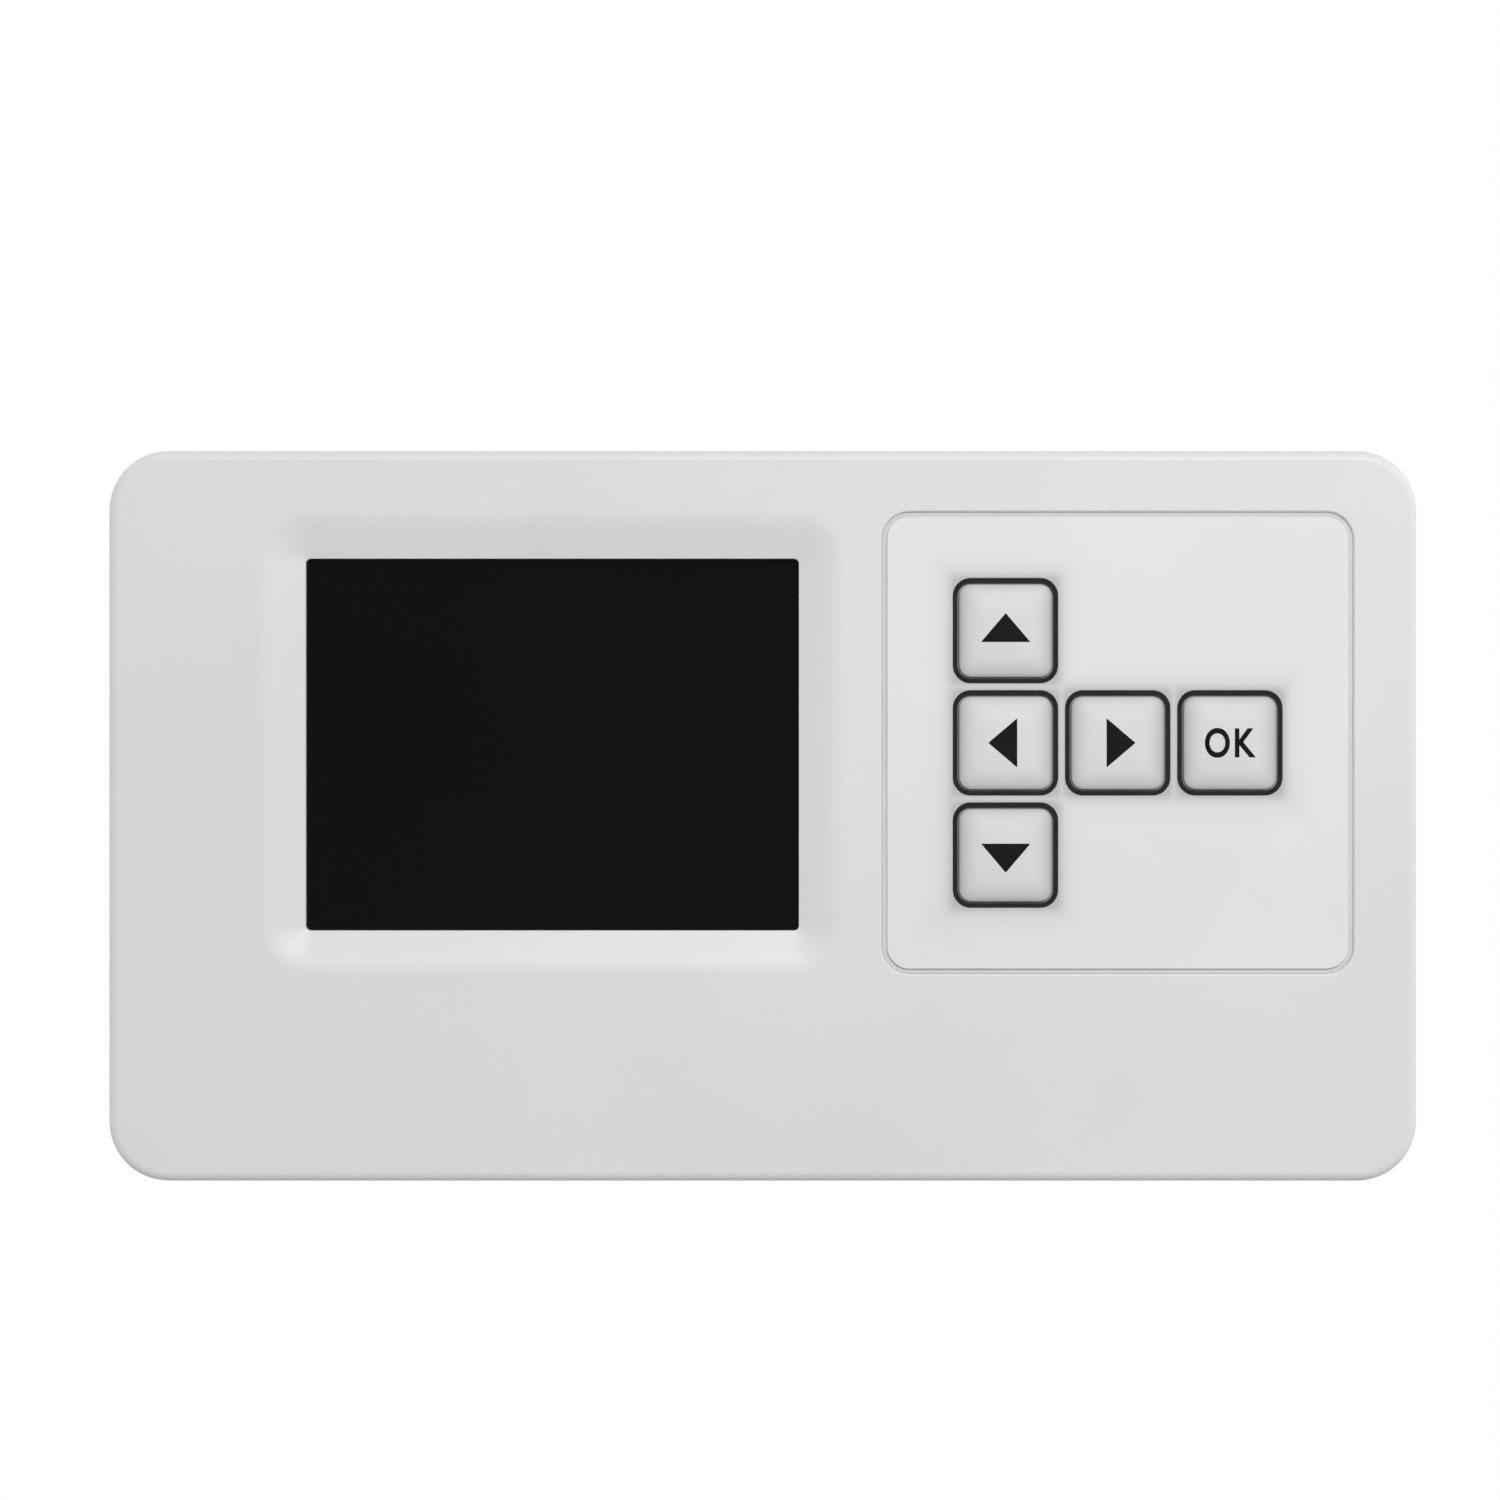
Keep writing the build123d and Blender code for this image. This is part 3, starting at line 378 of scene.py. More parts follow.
# Closed-cell foam cut from sheet: no gloss, and cut cells that swallow the light
black_foam = drifting_finish(
    "black_foam", ("#141414", "#202020"), drift=1.0, grain=0.3, depth=0.05, roughness=(0.85, 0.95)
)
# Display glass under its polariser, switched off: a blue-black mirror
display_glass = drifting_finish(
    "display_glass", ("#0B0D10", "#12151A"), drift=40.0, grain=20.0, depth=0.0004, roughness=(0.05, 0.08)
)
# Extruded diffuser sheet over the backlight: an even, milky white
diffuser_white = drifting_finish(
    "backlight_diffuser", ("#E6E8E6", "#F0F2F0"), drift=20.0, grain=0.3, depth=0.002, roughness=(0.5, 0.6)
)
# Moulded grey ABS of the display frame: plain and matt
frame_grey = drifting_finish(
    "grey_frame_abs", ("#6E7072", "#7A7C7E"), drift=20.0, grain=0.4, depth=0.005, roughness=(0.45, 0.55)
)
# Laminated polyimide ribbon: a clear amber, smooth and half glossy
amber_polyimide = drifting_finish(
    "amber_polyimide", ("#A85F16", "#B96C1E"), drift=6.0, grain=1.0, depth=0.002, roughness=(0.25, 0.35)
)
# Sintered ferrite: dark grey, dry and finely pitted
dark_ferrite = drifting_finish(
    "sintered_ferrite", ("#2B2B2D", "#3A3A3C"), drift=1.5, grain=0.3, depth=0.01, roughness=(0.55, 0.7)
)
# Dipped epoxy bead: nearly black and glossy, a little lumpy as it dried
sensor_resin = drifting_finish(
    "dipped_epoxy", ("#20201F", "#2C2B29"), drift=1.0, grain=0.4, depth=0.003, roughness=(0.2, 0.3)
)


def spangled_zinc():
    """Hot-dip galvanised sheet: angular zinc crystals, each with its own grey and its own gloss."""
    material, tree, shader = new_finish("galvanised_sheet", [("Metallic", 1.0)])
    place = add_node(tree, "ShaderNodeTexCoord").outputs["Object"]
    ragged = add_node(
        tree, "ShaderNodeTexNoise",
        [("Vector", place), ("Scale", 1 / (RAGGED_SIZE * MM)), ("Detail", RAGGED_DETAIL)],
    )
    wander = add_node(
        tree, "ShaderNodeVectorMath", [(0, ragged.outputs["Color"]), ("Scale", RAGGED_REACH * MM)],
        operation="SCALE",
    )
    edge = add_node(
        tree, "ShaderNodeVectorMath", [(0, place), (1, wander.outputs["Vector"])], operation="ADD"
    )
    crystals = add_node(
        tree, "ShaderNodeTexVoronoi",
        [("Vector", edge.outputs["Vector"]), ("Scale", 1 / (CRYSTAL_SIZE * MM))], feature="F1",
    )
    each = add_node(tree, "ShaderNodeSeparateColor", [("Color", crystals.outputs["Color"])])
    tone = add_node(tree, "ShaderNodeValToRGB", [("Fac", each.outputs["Red"])])
    tone.color_ramp.elements[0].color = srgb("#A6ABAF")
    tone.color_ramp.elements[1].color = srgb("#BFC4C8")
    tree.links.new(tone.outputs["Color"], shader.inputs["Base Color"])
    gloss = add_node(
        tree, "ShaderNodeMapRange",
        [("Value", each.outputs["Green"]), ("To Min", CRYSTAL_GLOSS[0]), ("To Max", CRYSTAL_GLOSS[1])],
    )
    tree.links.new(gloss.outputs["Result"], shader.inputs["Roughness"])
    frost = add_node(
        tree, "ShaderNodeTexNoise",
        [("Vector", place), ("Scale", 1 / (FROST_SIZE * MM)), ("Detail", GRAIN_DETAIL)],
    )
    bump = add_node(
        tree, "ShaderNodeBump", [("Height", frost.outputs["Fac"]), ("Distance", FROST_DEPTH * MM)]
    )
    tree.links.new(bump.outputs["Normal"], shader.inputs["Normal"])
    return material


def masked_board():
    """Glass-fibre board under green solder mask: copper runs show as lighter lines, tinned vias as dots.

    The bump lifts the runs by 0.1 mm, about three times their real height, or they wouldn't catch the light.
    """
    material, tree, shader = new_finish("solder_mask_green", [("Roughness", MASK_ROUGHNESS)])
    place = add_node(tree, "ShaderNodeTexCoord").outputs["Object"]
    runs = []
    for turn in (0, 90):
        laid_flat = add_node(
            tree, "ShaderNodeMapping",
            [("Vector", place), ("Rotation", (math.radians(-90), 0.0, math.radians(turn)))],
        )
        lines = add_node(
            tree, "ShaderNodeTexBrick",
            [
                ("Vector", laid_flat.outputs["Vector"]), ("Scale", 1.0),
                ("Mortar Size", RUN_WIDTH / 2 * MM), ("Mortar Smooth", RUN_SOFTNESS),
                ("Brick Width", RUN_LENGTH * MM), ("Row Height", RUN_PITCH * MM),
                ("Color1", srgb("#0F4A2A")), ("Color2", srgb("#125430")), ("Mortar", srgb("#2A7D4C")),
            ],
            offset=RUN_STAGGER, squash=RUN_SHORT_SHARE, squash_frequency=RUN_SHORT_EVERY,
        )
        runs.append(lines.outputs["Color"])
    fields = add_node(
        tree, "ShaderNodeTexVoronoi", [("Vector", place), ("Scale", 1 / (FIELD_SIZE * MM))],
        feature="F1", distance="CHEBYCHEV",
    )
    each = add_node(tree, "ShaderNodeSeparateColor", [("Color", fields.outputs["Color"])])
    turned = add_node(
        tree, "ShaderNodeMath", [(0, each.outputs["Red"]), (1, FIELDS_TURNED)], operation="GREATER_THAN"
    )
    copper = add_node(
        tree, "ShaderNodeMix", [("Factor", turned.outputs["Value"]), (MIX_A, runs[0]), (MIX_B, runs[1])],
        data_type="RGBA",
    ).outputs[MIX_COLOUR]
    vias = add_node(
        tree, "ShaderNodeTexVoronoi", [("Vector", place), ("Scale", 1 / (VIA_PITCH * MM))], feature="F1"
    )
    via_spot = add_node(
        tree, "ShaderNodeMapRange",
        [
            ("Value", vias.outputs["Distance"]), ("From Min", VIA_EDGE[0]), ("From Max", VIA_EDGE[1]),
            ("To Min", 1.0), ("To Max", 0.0),
        ],
    )
    colour = add_node(
        tree, "ShaderNodeMix",
        [("Factor", via_spot.outputs["Result"]), (MIX_A, copper), (MIX_B, srgb("#B9BCB4"))],
        data_type="RGBA",
    )
    tree.links.new(colour.outputs[MIX_COLOUR], shader.inputs["Base Color"])
    bump = add_node(tree, "ShaderNodeBump", [("Height", copper), ("Distance", RUN_HEIGHT * MM)])
    tree.links.new(bump.outputs["Normal"], shader.inputs["Normal"])
    return material


NODE_FINISHES = {
    "wall_plate": spangled_zinc(), "rear_cover": moulded_abs, "front_cover": moulded_abs,
    "case_screws": plated_screw, "board_screws": plated_screw, "main_board": masked_board(),
    "display_lens": smoked_acrylic, "display_gasket": black_foam, "display_glass": display_glass,
    "backlight": diffuser_white, "display_frame": frame_grey, "display_ribbon": amber_polyimide,
    "ribbon_connector": black_compound, "keypad_spacer": spacer_painted_groove_shade, "keypad_overlay": film_painted_key_shade,
    "switch_bases": black_compound, "switch_covers": nickel_sheet, "terminal_block": green_polyamide,
    "terminal_clamps": dull_brass, "terminal_screws": plated_screw, "relay": blue_polyester,
    "buzzer": black_compound, "controller_chip": black_compound, "cell_holder": black_compound,
    "clock_cell": nickel_sheet, "supply_capacitor": aluminium_can, "supply_choke": dark_ferrite,
    "room_sensor": sensor_resin,
}
for key_name in KEY_NAMES:
    NODE_FINISHES[f"key_{key_name}"] = key_top_painted_shade
    NODE_FINISHES[f"plunger_{key_name}"] = black_compound


def dress(piece, material):
    """Gives a piece that one material."""
    piece.data.materials.clear()
    piece.data.materials.append(material)


for node_name, finish in NODE_FINISHES.items():
    dress(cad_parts[node_name], finish)


def clear_selection():
    """Leaves object mode with nothing selected."""
    if bpy.context.object and bpy.context.object.mode != "OBJECT":
        bpy.ops.object.mode_set(mode="OBJECT")
    bpy.ops.object.select_all(action="DESELECT")


def activate(piece):
    """Leaves object mode with that piece alone selected and active."""
    clear_selection()
    piece.select_set(True)
    bpy.context.view_layer.objects.active = piece


def settle(piece):
    """Puts a new object's place, turn and scale into its mesh."""
    activate(piece)
    bpy.ops.object.transform_apply(location=True, rotation=True, scale=True)


def block(name, middle, size):
    """A box of that size round that middle, in millimetres."""
    clear_selection()
    bpy.ops.mesh.primitive_cube_add(size=1, location=[place * MM for place in middle])
    piece = bpy.context.object
    piece.name = name
    piece.scale = [length * MM for length in size]
    settle(piece)
    return piece


def drop_picks(piece, kind):
    """Leaves nothing selected in a piece's mesh, with edges or faces as the kind to pick next."""
    activate(piece)
    bpy.ops.object.mode_set(mode="EDIT")
    bpy.ops.mesh.select_mode(type=kind)
    bpy.ops.mesh.select_all(action="DESELECT")
    bpy.ops.object.mode_set(mode="OBJECT")


def pick_edges(piece, wanted):
    """Opens edit mode with just the edges selected whose middle and direction pass the test."""
    drop_picks(piece, "EDGE")
    points = piece.data.vertices
    for edge in piece.data.edges:
        start, end = (points[index].co for index in edge.vertices)
        edge.select = wanted((start + end) / 2, (end - start).normalized())
    bpy.ops.object.mode_set(mode="EDIT")


def pick_faces(piece, wanted):
    """Opens edit mode with just the faces selected whose middle and normal pass the test."""
    drop_picks(piece, "FACE")
    for face in piece.data.polygons:
        face.select = wanted(face.center, face.normal)
    bpy.ops.object.mode_set(mode="EDIT")


def faces_room(middle, normal):
    """True for a face that looks straight into the room."""
    return normal.y < -SQUARE_ON


def faces_wall(middle, normal):
    """True for a face that looks straight at the wall."""
    return normal.y > SQUARE_ON


def runs_to_wall(middle, direction):
    """True for an edge that runs square to the wall."""
    return abs(direction.y) > SQUARE_ON


def round_corners(piece, radius, segments):
    """Rounds the corners of a flat piece, as seen from the room."""
    pick_edges(piece, runs_to_wall)
    bpy.ops.mesh.bevel(offset=radius * MM, segments=segments, affect="EDGES")
    bpy.ops.object.mode_set(mode="OBJECT")


def scale_picked(share, middle_x, middle_z):
    """Scales the selected faces across the wall, about a middle in millimetres."""
    bpy.ops.transform.resize(value=(share, 1, share), center_override=(middle_x * MM, 0, middle_z * MM))


def scale_front(piece, share, middle_x, middle_z):
    """Scales the side of a piece that faces the room, about a middle in millimetres."""
    pick_faces(piece, faces_room)
    scale_picked(share, middle_x, middle_z)
    bpy.ops.object.mode_set(mode="OBJECT")


def push_out(distance):
    """Extrudes the selected faces along Y by a distance in millimetres."""
    bpy.ops.mesh.extrude_region_move(TRANSFORM_OT_translate={"value": (0, distance * MM, 0)})


def apply_modifier(piece, kind, **settings):
    """Adds a modifier with those settings and applies it."""
    modifier = piece.modifiers.new(kind.lower(), kind)
    for name, value in settings.items():
        setattr(modifier, name, value)
    activate(piece)
    bpy.ops.object.modifier_apply(modifier=modifier.name)


def combine(piece, tool, operation):
    """Cuts the tool's shape out of the piece, or keeps only what they share, and removes the tool."""
    apply_modifier(piece, "BOOLEAN", operation=operation, solver="EXACT", object=tool)
    bpy.data.objects.remove(tool)


def shade(piece, degrees):
    """Even shading over curves, with edges sharper than that many degrees kept crisp."""
    activate(piece)
    bpy.ops.object.shade_smooth_by_angle(angle=math.radians(degrees))
    apply_modifier(piece, "WEIGHTED_NORMAL", keep_sharp=True)


def copied(piece, name, shift):
    """A copy of a piece with its own mesh, moved by that much in metres."""
    twin = piece.copy()
    twin.data = piece.data.copy()
    twin.data.transform(Matrix.Translation(shift))
    twin.name = name
    bpy.context.scene.collection.objects.link(twin)
    return twin


def merge_points(piece, reach):
    """Joins points that lie within that reach, so that the mesh closes, and turns its faces outwards."""
    activate(piece)
    bpy.ops.object.mode_set(mode="EDIT")
    bpy.ops.mesh.select_all(action="SELECT")
    bpy.ops.mesh.remove_doubles(threshold=reach)
    bpy.ops.mesh.normals_make_consistent(inside=False)
    bpy.ops.object.mode_set(mode="OBJECT")


def centre_flat(piece):
    """Centres a flat shape on its own middle and gives its width and height."""
    across = [vertex.co.x for vertex in piece.data.vertices]
    along = [vertex.co.y for vertex in piece.data.vertices]
    middle = ((max(across) + min(across)) / 2, (max(along) + min(along)) / 2)
    piece.data.transform(Matrix.Translation((-middle[0], -middle[1], 0)))
    return max(across) - min(across), max(along) - min(along)


def set_type(characters, spacing=1.0):
    """Plain characters as a closed mesh that is one unit thick on each side of its plane."""
    clear_selection()
    bpy.ops.object.text_add()
    line = bpy.context.object
    line.data.body = characters
    line.data.align_x = "CENTER"
    line.data.space_character = spacing
    line.data.offset = LETTER_WEIGHT
    line.data.extrude = 1.0
    activate(line)
    bpy.ops.object.convert(target="MESH")
    mesh = bpy.context.object
    merge_points(mesh, TYPE_MERGE)
    return mesh


def smooth_shell(node, name, body):
    """A copy of a CAD node with its triangles merged to whole faces, so that its curves shade evenly."""
    piece = copied(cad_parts[node], name, (0, 0, 0))
    for tag in [tag for tag in piece.keys() if tag.startswith("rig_")]:
        del piece[tag]
    piece.parent = None
    activate(piece)
    bpy.ops.object.mode_set(mode="EDIT")
    bpy.ops.mesh.select_all(action="SELECT")
    bpy.ops.mesh.remove_doubles(threshold=SHELL_MERGE * MM)
    bpy.ops.mesh.dissolve_limited(angle_limit=math.radians(FLAT_ANGLE))
    bpy.ops.mesh.customdata_custom_splitnormals_clear()
    bpy.ops.object.mode_set(mode="OBJECT")
    shade(piece, CRISP_ANGLE)
    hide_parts(node)
    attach(piece, body)
    return piece


smooth_shell("front_cover", "front_shell", "housing")
smooth_shell("rear_cover", "rear_shell", "housing")
smooth_shell("wall_plate", "mounting_plate", "wall_bracket")

# Housing screws: pan heads with a tapered cross recess, driven from behind
screw_low, screw_high = (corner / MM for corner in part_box("case_screws"))
seat_y = screw_high.y - SCREW_HEAD_HEIGHT
screw_x = screw_high.x - SCREW_HEAD_RADIUS
screw_z = screw_high.z - SCREW_HEAD_RADIUS
clear_selection()
bpy.ops.mesh.primitive_cylinder_add(
    vertices=SCREW_SIDES, radius=SCREW_HEAD_RADIUS * MM, depth=SCREW_HEAD_HEIGHT * MM,
    location=(screw_x * MM, (seat_y + SCREW_HEAD_HEIGHT / 2) * MM, screw_z * MM),
    rotation=(math.radians(90), 0, 0),
)
screw = bpy.context.object
settle(screw)
pick_faces(screw, faces_wall)
bpy.ops.mesh.bevel(offset=SCREW_DOME * MM, segments=SCREW_DOME_SEGMENTS, affect="EDGES")
pick_faces(screw, faces_room)
bpy.ops.mesh.inset(thickness=(SCREW_HEAD_RADIUS - SCREW_SHANK_RADIUS) * MM)
push_out(screw_low.y - seat_y + SCREW_TIP)
push_out(-SCREW_TIP)
scale_picked(SCREW_TIP_SHARE, screw_x, screw_z)
bpy.ops.object.mode_set(mode="OBJECT")
for blade_x, blade_z in ((RECESS_LENGTH, RECESS_WIDTH), (RECESS_WIDTH, RECESS_LENGTH)):
    recess = block("recess", (screw_x, screw_high.y, screw_z), (blade_x, 2 * RECESS_DEPTH, blade_z))
    scale_front(recess, RECESS_FOOT_SHARE, screw_x, screw_z)
    combine(screw, recess, "DIFFERENCE")
shade(screw, CRISP_ANGLE)
dress(screw, plated_screw)
twins = []
for side_x, side_z in ((1, -1), (-1, 1), (-1, -1)):
    shift = ((side_x - 1) * screw_x * MM, 0, (side_z - 1) * screw_z * MM)
    twins.append(copied(screw, "screw", shift))
activate(screw)
for twin in twins:
    twin.select_set(True)
bpy.ops.object.join()
screw.name = "housing_screws"
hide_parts("case_screws")
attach(screw, "housing")

# Terminal housing: the CAD block with a groove between each two ways, and a number over each screw
terminal = smooth_shell("terminal_block", "terminal_housing", "housing")
terminal_low, terminal_high = (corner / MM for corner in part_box("terminal_block"))
terminal_middle = (terminal_low + terminal_high) / 2
way_pitch = (terminal_high.x - terminal_low.x) / TERMINAL_WAYS
for gap in range(1, TERMINAL_WAYS):
    groove = block(
        "groove", (terminal_low.x + gap * way_pitch, terminal_high.y, terminal_middle.z),
        (WAY_GROOVE, 2 * WAY_GROOVE, 2 * terminal_high.z),
    )
    combine(terminal, groove, "DIFFERENCE")
shade(terminal, CRISP_ANGLE)
for way in range(TERMINAL_WAYS):
    number = set_type(str(way + 1))
    number.name = f"terminal_number_{way + 1}"
    number.scale = (NUMBER_SIZE * MM, NUMBER_SIZE * MM, INK_THICKNESS * MM)
    number.rotation_euler = (math.radians(90), 0, math.radians(180))
    number_x = terminal_high.x - (way + 0.5) * way_pitch
    number.location = (number_x * MM, terminal_high.y * MM, (terminal_high.z - NUMBER_DROP) * MM)
    settle(number)
    dress(number, white_ink)
    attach(number, "housing")

# Keypad film: cut to the CAD sheet's size, with a shallow valley pressed round each key
film_low, film_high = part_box("keypad_overlay")
film_middle = (film_low + film_high) / 2 / MM
film_size = (film_high - film_low) / MM
film_front = film_low.y / MM
valley_floor = film_front + VALLEY_DEPTH


def window_tool(key_x, key_z):
    """A block that cuts a key's window out of the film or its outline."""
    tool = block("window", (key_x, film_front, key_z), (KEY_WINDOW, WINDOW_TOOL_DEPTH, KEY_WINDOW))
    round_corners(tool, KEY_WINDOW_RADIUS, KEY_CORNER_SEGMENTS)
    return tool


film = block("keypad_film", film_middle, film_size)
round_corners(film, FILM_CORNER_RADIUS, FILM_CORNER_SEGMENTS)
valley_spread = 1 + 2 * VALLEY_TOOL_HEIGHT * VALLEY_WIDTH / VALLEY_DEPTH / OUTLINE_SIZE
for key_name in KEY_NAMES:
    key_x, _, key_z = key_middles[key_name] / MM
    valley = block(
        "valley", (key_x, valley_floor - VALLEY_TOOL_HEIGHT / 2, key_z),
        (OUTLINE_SIZE, VALLEY_TOOL_HEIGHT, OUTLINE_SIZE),
    )
    round_corners(valley, OUTLINE_RADIUS, KEY_CORNER_SEGMENTS)
    scale_front(valley, valley_spread, key_x, key_z)
    combine(film, valley, "DIFFERENCE")
    combine(film, window_tool(key_x, key_z), "DIFFERENCE")
merge_points(film, FILM_MERGE * MM)
shade(film, FILM_CRISP_ANGLE)
dress(film, film_painted_key_shade)
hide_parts("keypad_overlay")
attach(film, "housing")

# Printed outlines: one ring of ink on the valley floor round each key
first_x, _, first_z = key_middles["up"] / MM
outline = block(
    "key_outline_up", (first_x, valley_floor - INK_THICKNESS / 2, first_z),
    (OUTLINE_SIZE, INK_THICKNESS, OUTLINE_SIZE),
)
round_corners(outline, OUTLINE_RADIUS, KEY_CORNER_SEGMENTS)
combine(outline, window_tool(first_x, first_z), "DIFFERENCE")
shade(outline, CRISP_ANGLE)
dress(outline, thin_ink)
for key_name in KEY_NAMES:
    shift = key_middles[key_name] - key_middles["up"]
    ring = outline if key_name == "up" else copied(outline, f"key_outline_{key_name}", shift)
    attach(ring, "housing")


def make_cap():
    """The upper key's cap: a flange, a short wall and a pillow top raised ring by ring."""
    low, high = (corner / MM for corner in key_boxes["up"])
    middle = (low + high) / 2
    flange_size = high.x - low.x
    flange_front = high.y - FLANGE_THICKNESS
    wall_top = film_front + VALLEY_DEPTH - CAP_WALL_TOP
    rise = wall_top - low.y
    cap = block(
        "key_cap_up", (middle.x, high.y - FLANGE_THICKNESS / 2, middle.z),
        (flange_size, FLANGE_THICKNESS, flange_size),
    )
    round_corners(cap, FLANGE_RADIUS, KEY_CORNER_SEGMENTS)
    pick_faces(cap, faces_room)
    bpy.ops.mesh.inset(thickness=FLANGE_WIDTH * MM, use_even_offset=True)
    push_out(wall_top - flange_front)
    share, height = 1.0, 0.0
    for ring in range(1, CAP_RINGS + 1):
        next_share = 1 - (1 - CAP_LAST_RING) * (ring / CAP_RINGS) ** CAP_RING_SPREAD
        next_height = rise * (1 - next_share ** CAP_POWER)
        push_out(height - next_height)
        scale_picked(next_share / share, middle.x, middle.z)
        share, height = next_share, next_height
    bpy.ops.object.mode_set(mode="OBJECT")
    apply_modifier(
        cap, "BEVEL", width=CAP_EDGE * MM, segments=CAP_EDGE_SEGMENTS,
        limit_method="ANGLE", angle_limit=math.radians(CAP_EDGE_ANGLE),
    )
    shade(cap, CAP_CRISP_ANGLE)
    dress(cap, key_top_painted_shade)
    return cap


cap_up = make_cap()
caps = {}
for key_name in KEY_NAMES:
    shift = key_middles[key_name] - key_middles["up"]
    caps[key_name] = cap_up if key_name == "up" else copied(cap_up, f"key_cap_{key_name}", shift)
    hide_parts(f"key_{key_name}")
    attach(caps[key_name], f"key_{key_name}")


def ink_from(stamp, key_name, name):
    """Keeps what a stamp covers of the key's top, raised by the ink's thickness, as a printed symbol."""
    top = copied(caps[key_name], "top", (0, -INK_THICKNESS * MM, 0))
    combine(stamp, top, "INTERSECT")
    stamp.name = name
    dress(stamp, screen_ink)
    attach(stamp, f"key_{key_name}")


def make_arrow(key_name, pointing):
    """A solid triangle with slightly soft corners, turned by that many degrees from pointing up."""
    clear_selection()
    bpy.ops.mesh.primitive_cylinder_add(vertices=3, radius=MM, depth=ARROW_STAMP_DEPTH * MM)
    stamp = bpy.context.object
    width, height = centre_flat(stamp)
    stamp.scale = (ARROW_BASE * MM / width, ARROW_HEIGHT * MM / height, 1)
    settle(stamp)
    stamp.rotation_euler = (math.radians(90), 0, 0)
    settle(stamp)
    turn = math.radians(pointing)
    stamp.rotation_euler = (0, turn, 0)
    stamp.location = (
        key_middles[key_name].x + ARROW_SHIFT * MM * math.sin(turn),
        key_boxes[key_name][0].y,
        key_middles[key_name].z + ARROW_SHIFT * MM * math.cos(turn),
    )
    settle(stamp)
    round_corners(stamp, ARROW_CORNER, ARROW_CORNER_SEGMENTS)
    ink_from(stamp, key_name, f"arrow_{key_name}")


for key_name, pointing in (("up", 0), ("right", 90), ("down", 180), ("left", 270)):
    make_arrow(key_name, pointing)

# Plain capitals on the fifth key
letters = set_type("OK", LETTER_SPACING)
_, letters_height = centre_flat(letters)
letter_scale = LETTER_HEIGHT * MM / letters_height
letters.scale = (LETTER_CONDENSE * letter_scale, letter_scale, LETTER_STAMP_DEPTH * MM)
settle(letters)
letters.rotation_euler = (math.radians(90), 0, 0)
letters.location = (key_middles["set"].x, key_boxes["set"][0].y, key_middles["set"].z)
settle(letters)
ink_from(letters, "set", "lettering_set")

# Floor: pale, well below the object, and lifted to white where it is seen, so that only the shadow stays
clear_selection()
bpy.ops.mesh.primitive_plane_add(
    size=FLOOR_SIZE * MM, location=(0, 0, cad_box[0][2] - FLOOR_DROP * MM)
)
floor = bpy.context.object
floor.name = "studio_floor"
settle(floor)
floor_paint, floor_tree, floor_shader = new_finish(
    "studio_floor_paint",
    [
        ("Base Color", srgb("#BCBCBC")), ("Roughness", FLOOR_ROUGHNESS),
        ("Emission Color", srgb("#FFFFFF")),
    ],
)
floor_path = add_node(floor_tree, "ShaderNodeLightPath")
seen = add_node(
    floor_tree, "ShaderNodeMath",
    [(0, floor_path.outputs["Is Camera Ray"]), (1, floor_path.outputs["Is Glossy Ray"])],
    operation="MAXIMUM",
)
floor_place = add_node(floor_tree, "ShaderNodeTexCoord").outputs["Object"]
flat_place = add_node(
    floor_tree, "ShaderNodeVectorMath", [(0, floor_place), (1, (1.0, 1.0, 0.0))], operation="MULTIPLY"
)
floor_reach = add_node(
    floor_tree, "ShaderNodeVectorMath", [(0, flat_place.outputs["Vector"])], operation="LENGTH"
)
glow = add_node(
    floor_tree, "ShaderNodeMapRange",
    [
        ("Value", floor_reach.outputs["Value"]),
        ("From Min", FLOOR_FADE[0] * MM), ("From Max", FLOOR_FADE[1] * MM),
        ("To Min", FLOOR_GLOW[0]), ("To Max", FLOOR_GLOW[1]),
    ],
    interpolation_type="SMOOTHSTEP",
)
lift = add_node(
    floor_tree, "ShaderNodeMath", [(0, seen.outputs["Value"]), (1, glow.outputs["Result"])],
    operation="MULTIPLY",
)
floor_tree.links.new(lift.outputs["Value"], floor_shader.inputs["Emission Strength"])
# Only its upper side is there, so that the part can also be seen from below
floor_side = add_node(floor_tree, "ShaderNodeNewGeometry")
clear = add_node(floor_tree, "ShaderNodeBsdfTransparent")
one_sided = add_node(
    floor_tree, "ShaderNodeMixShader",
    [
        ("Fac", floor_side.outputs["Backfacing"]),
        (1, floor_shader.outputs["BSDF"]), (2, clear.outputs["BSDF"]),
    ],
)
floor_tree.links.new(one_sided.outputs["Shader"], floor_tree.nodes["Material Output"].inputs["Surface"])
dress(floor, floor_paint)

# World: white where it is seen, and elsewhere a grey fill that is stronger from above. Gloss and glass show
# the white too, except towards the dim side of the studio, where the camera stands for the front view
world = bpy.data.worlds.new("studio_world")
bpy.context.scene.world = world
world.use_nodes = True
sky = world.node_tree
backdrop = sky.nodes["Background"]
backdrop.inputs["Color"].default_value = srgb("#FFFFFF")
sky_path = add_node(sky, "ShaderNodeLightPath")
heading = add_node(sky, "ShaderNodeTexCoord").outputs["Generated"]
heading_axes = add_node(sky, "ShaderNodeSeparateXYZ", [("Vector", heading)])
mirrored = add_node(
    sky, "ShaderNodeMapRange",
    [
        ("Value", heading_axes.outputs["Y"]), ("From Min", DIM_SIDE[0]), ("From Max", DIM_SIDE[1]),
        ("To Min", DIM_LEVEL), ("To Max", 1.0),
    ],
    interpolation_type="SMOOTHSTEP",
)
fill = add_node(
    sky, "ShaderNodeMapRange",
    [("Value", heading_axes.outputs["Z"]), ("To Min", FILL_LEVELS[0]), ("To Max", FILL_LEVELS[1])],
)
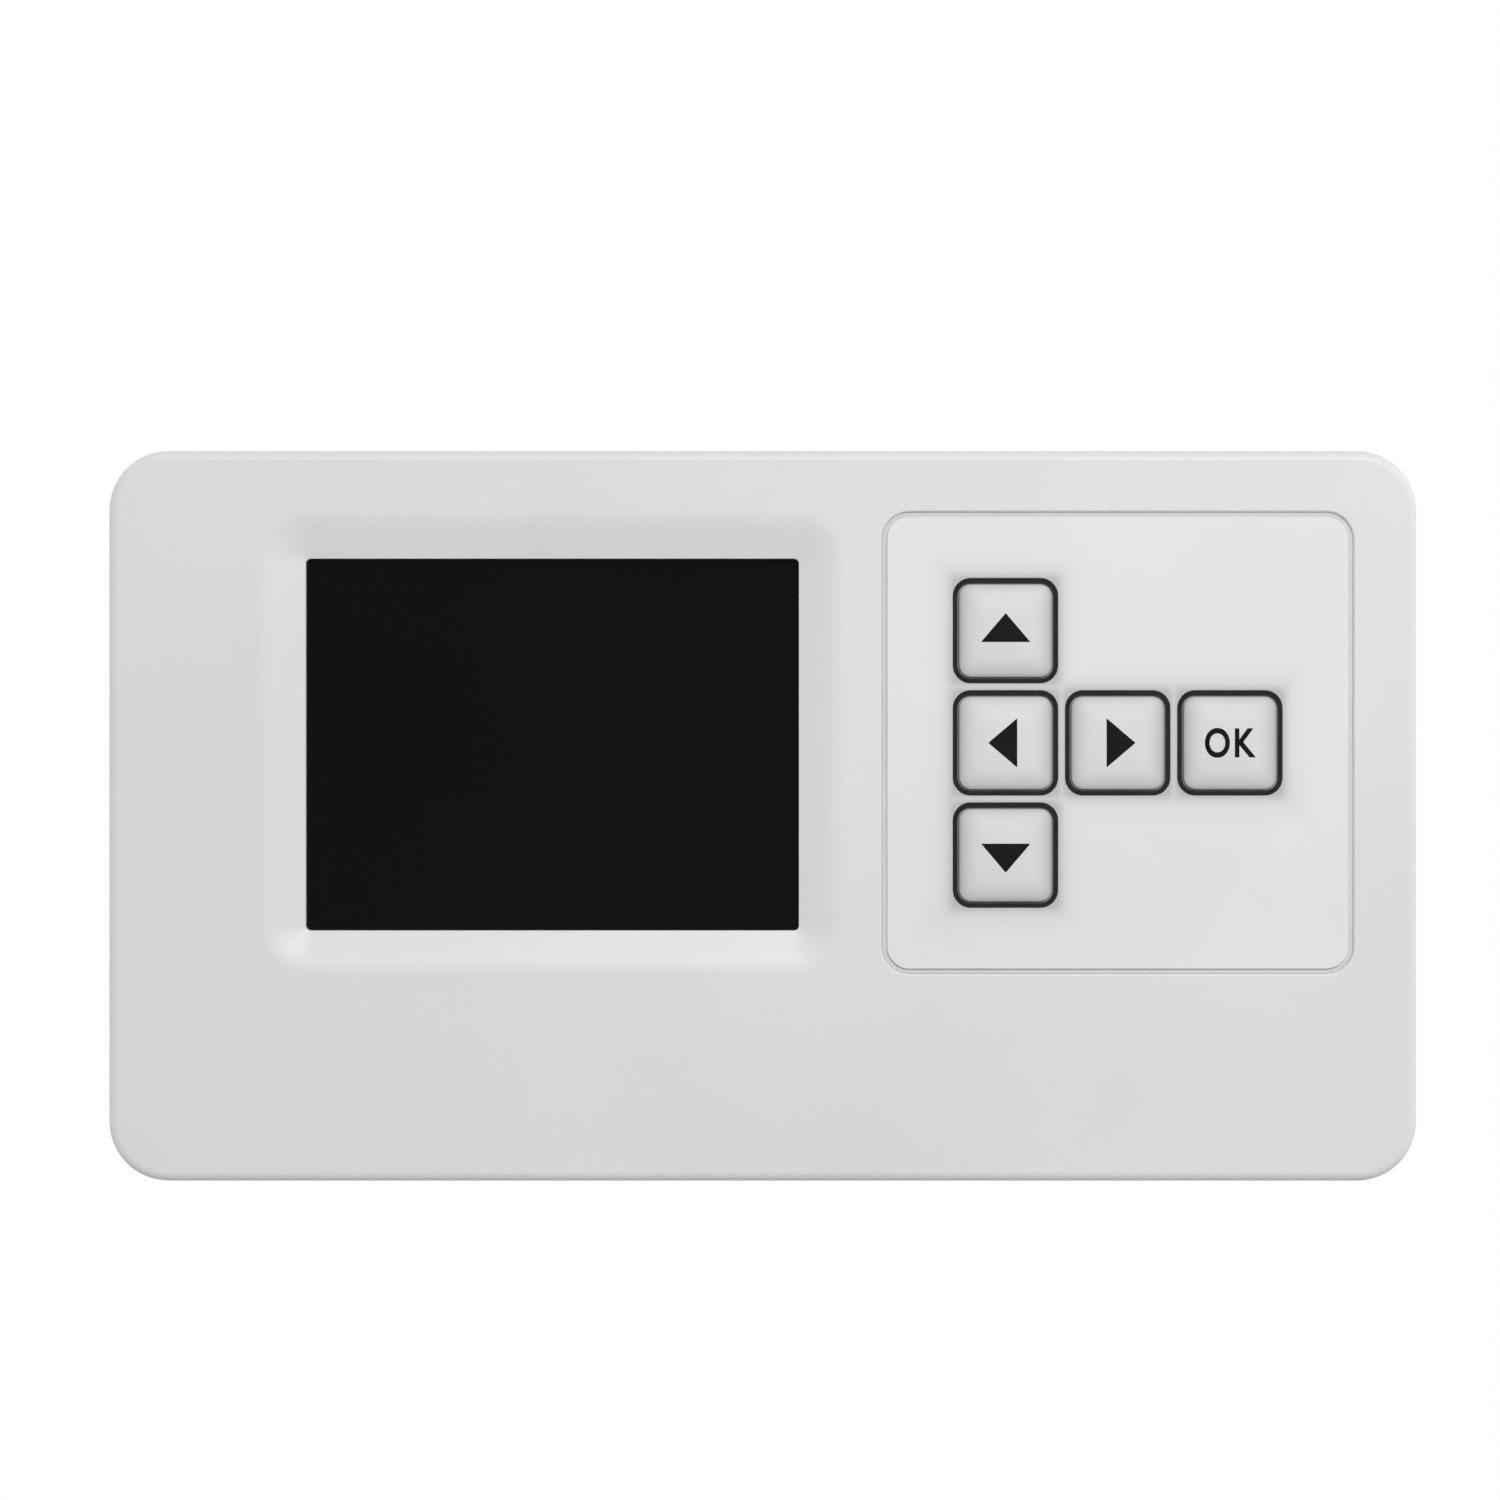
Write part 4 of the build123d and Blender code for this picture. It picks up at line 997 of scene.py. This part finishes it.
in_gloss = add_node(
    sky, "ShaderNodeMath",
    [(0, sky_path.outputs["Is Glossy Ray"]), (1, sky_path.outputs["Is Transmission Ray"])],
    operation="MAXIMUM",
)
unseen_level = add_node(
    sky, "ShaderNodeMix",
    [
        ("Factor", in_gloss.outputs["Value"]),
        ("A", fill.outputs["Result"]), ("B", mirrored.outputs["Result"]),
    ],
)
level = add_node(
    sky, "ShaderNodeMix",
    [("Factor", sky_path.outputs["Is Camera Ray"]), ("A", unseen_level.outputs["Result"]), ("B", 1.0)],
)
sky.links.new(level.outputs["Result"], backdrop.inputs["Strength"])


def softbox(name, place, target, width, height, watts, shows_in_gloss):
    """A rectangular studio lamp at a place, aimed at a target, with its sizes in millimetres."""
    lamp = bpy.data.lights.new(name, "AREA")
    lamp.shape = "RECTANGLE"
    lamp.size = width * MM
    lamp.size_y = height * MM
    lamp.energy = watts
    holder = bpy.data.objects.new(name, lamp)
    bpy.context.scene.collection.objects.link(holder)
    holder.location = [value * MM for value in place]
    aim = Vector([(end - start) * MM for start, end in zip(place, target)])
    holder.rotation_euler = aim.to_track_quat("-Z", "Y").to_euler()
    holder.visible_glossy = shows_in_gloss


softbox(
    "key_softbox", place=(190, -850, 440), target=(20, -25, 10), width=400, height=300, watts=6.5,
    shows_in_gloss=True,
)
# Fill lamps stay out of the gloss, or their mirror images would whiten the top and the sides at low angles
softbox(
    "left_softbox", place=(-620, 40, 110), target=(-70, 0, 0), width=400, height=400, watts=0.95,
    shows_in_gloss=False,
)
softbox(
    "right_softbox", place=(620, 40, 130), target=(70, 0, 0), width=400, height=400, watts=1.2,
    shows_in_gloss=False,
)
softbox(
    "rear_softbox", place=(-300, 640, 180), target=(0, 0, 0), width=500, height=400, watts=2.3,
    shows_in_gloss=False,
)

# Camera: as far off as its lens needs to take in the width of the photograph at the housing's face
camera_data = bpy.data.cameras.new("front_camera")
camera_data.lens = LENS_LENGTH
camera_data.sensor_width = SENSOR_WIDTH
camera = bpy.data.objects.new("front_camera", camera_data)
bpy.context.scene.collection.objects.link(camera)
face_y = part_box("front_cover")[0].y
camera_distance = VIEW_WIDTH * MM * LENS_LENGTH / SENSOR_WIDTH
camera.location = (CAMERA_X * MM, face_y - camera_distance, CAMERA_Z * MM)
camera.rotation_euler = (math.radians(90), 0, 0)
bpy.context.scene.camera = camera
bpy.context.scene.view_settings.view_transform = "Standard"
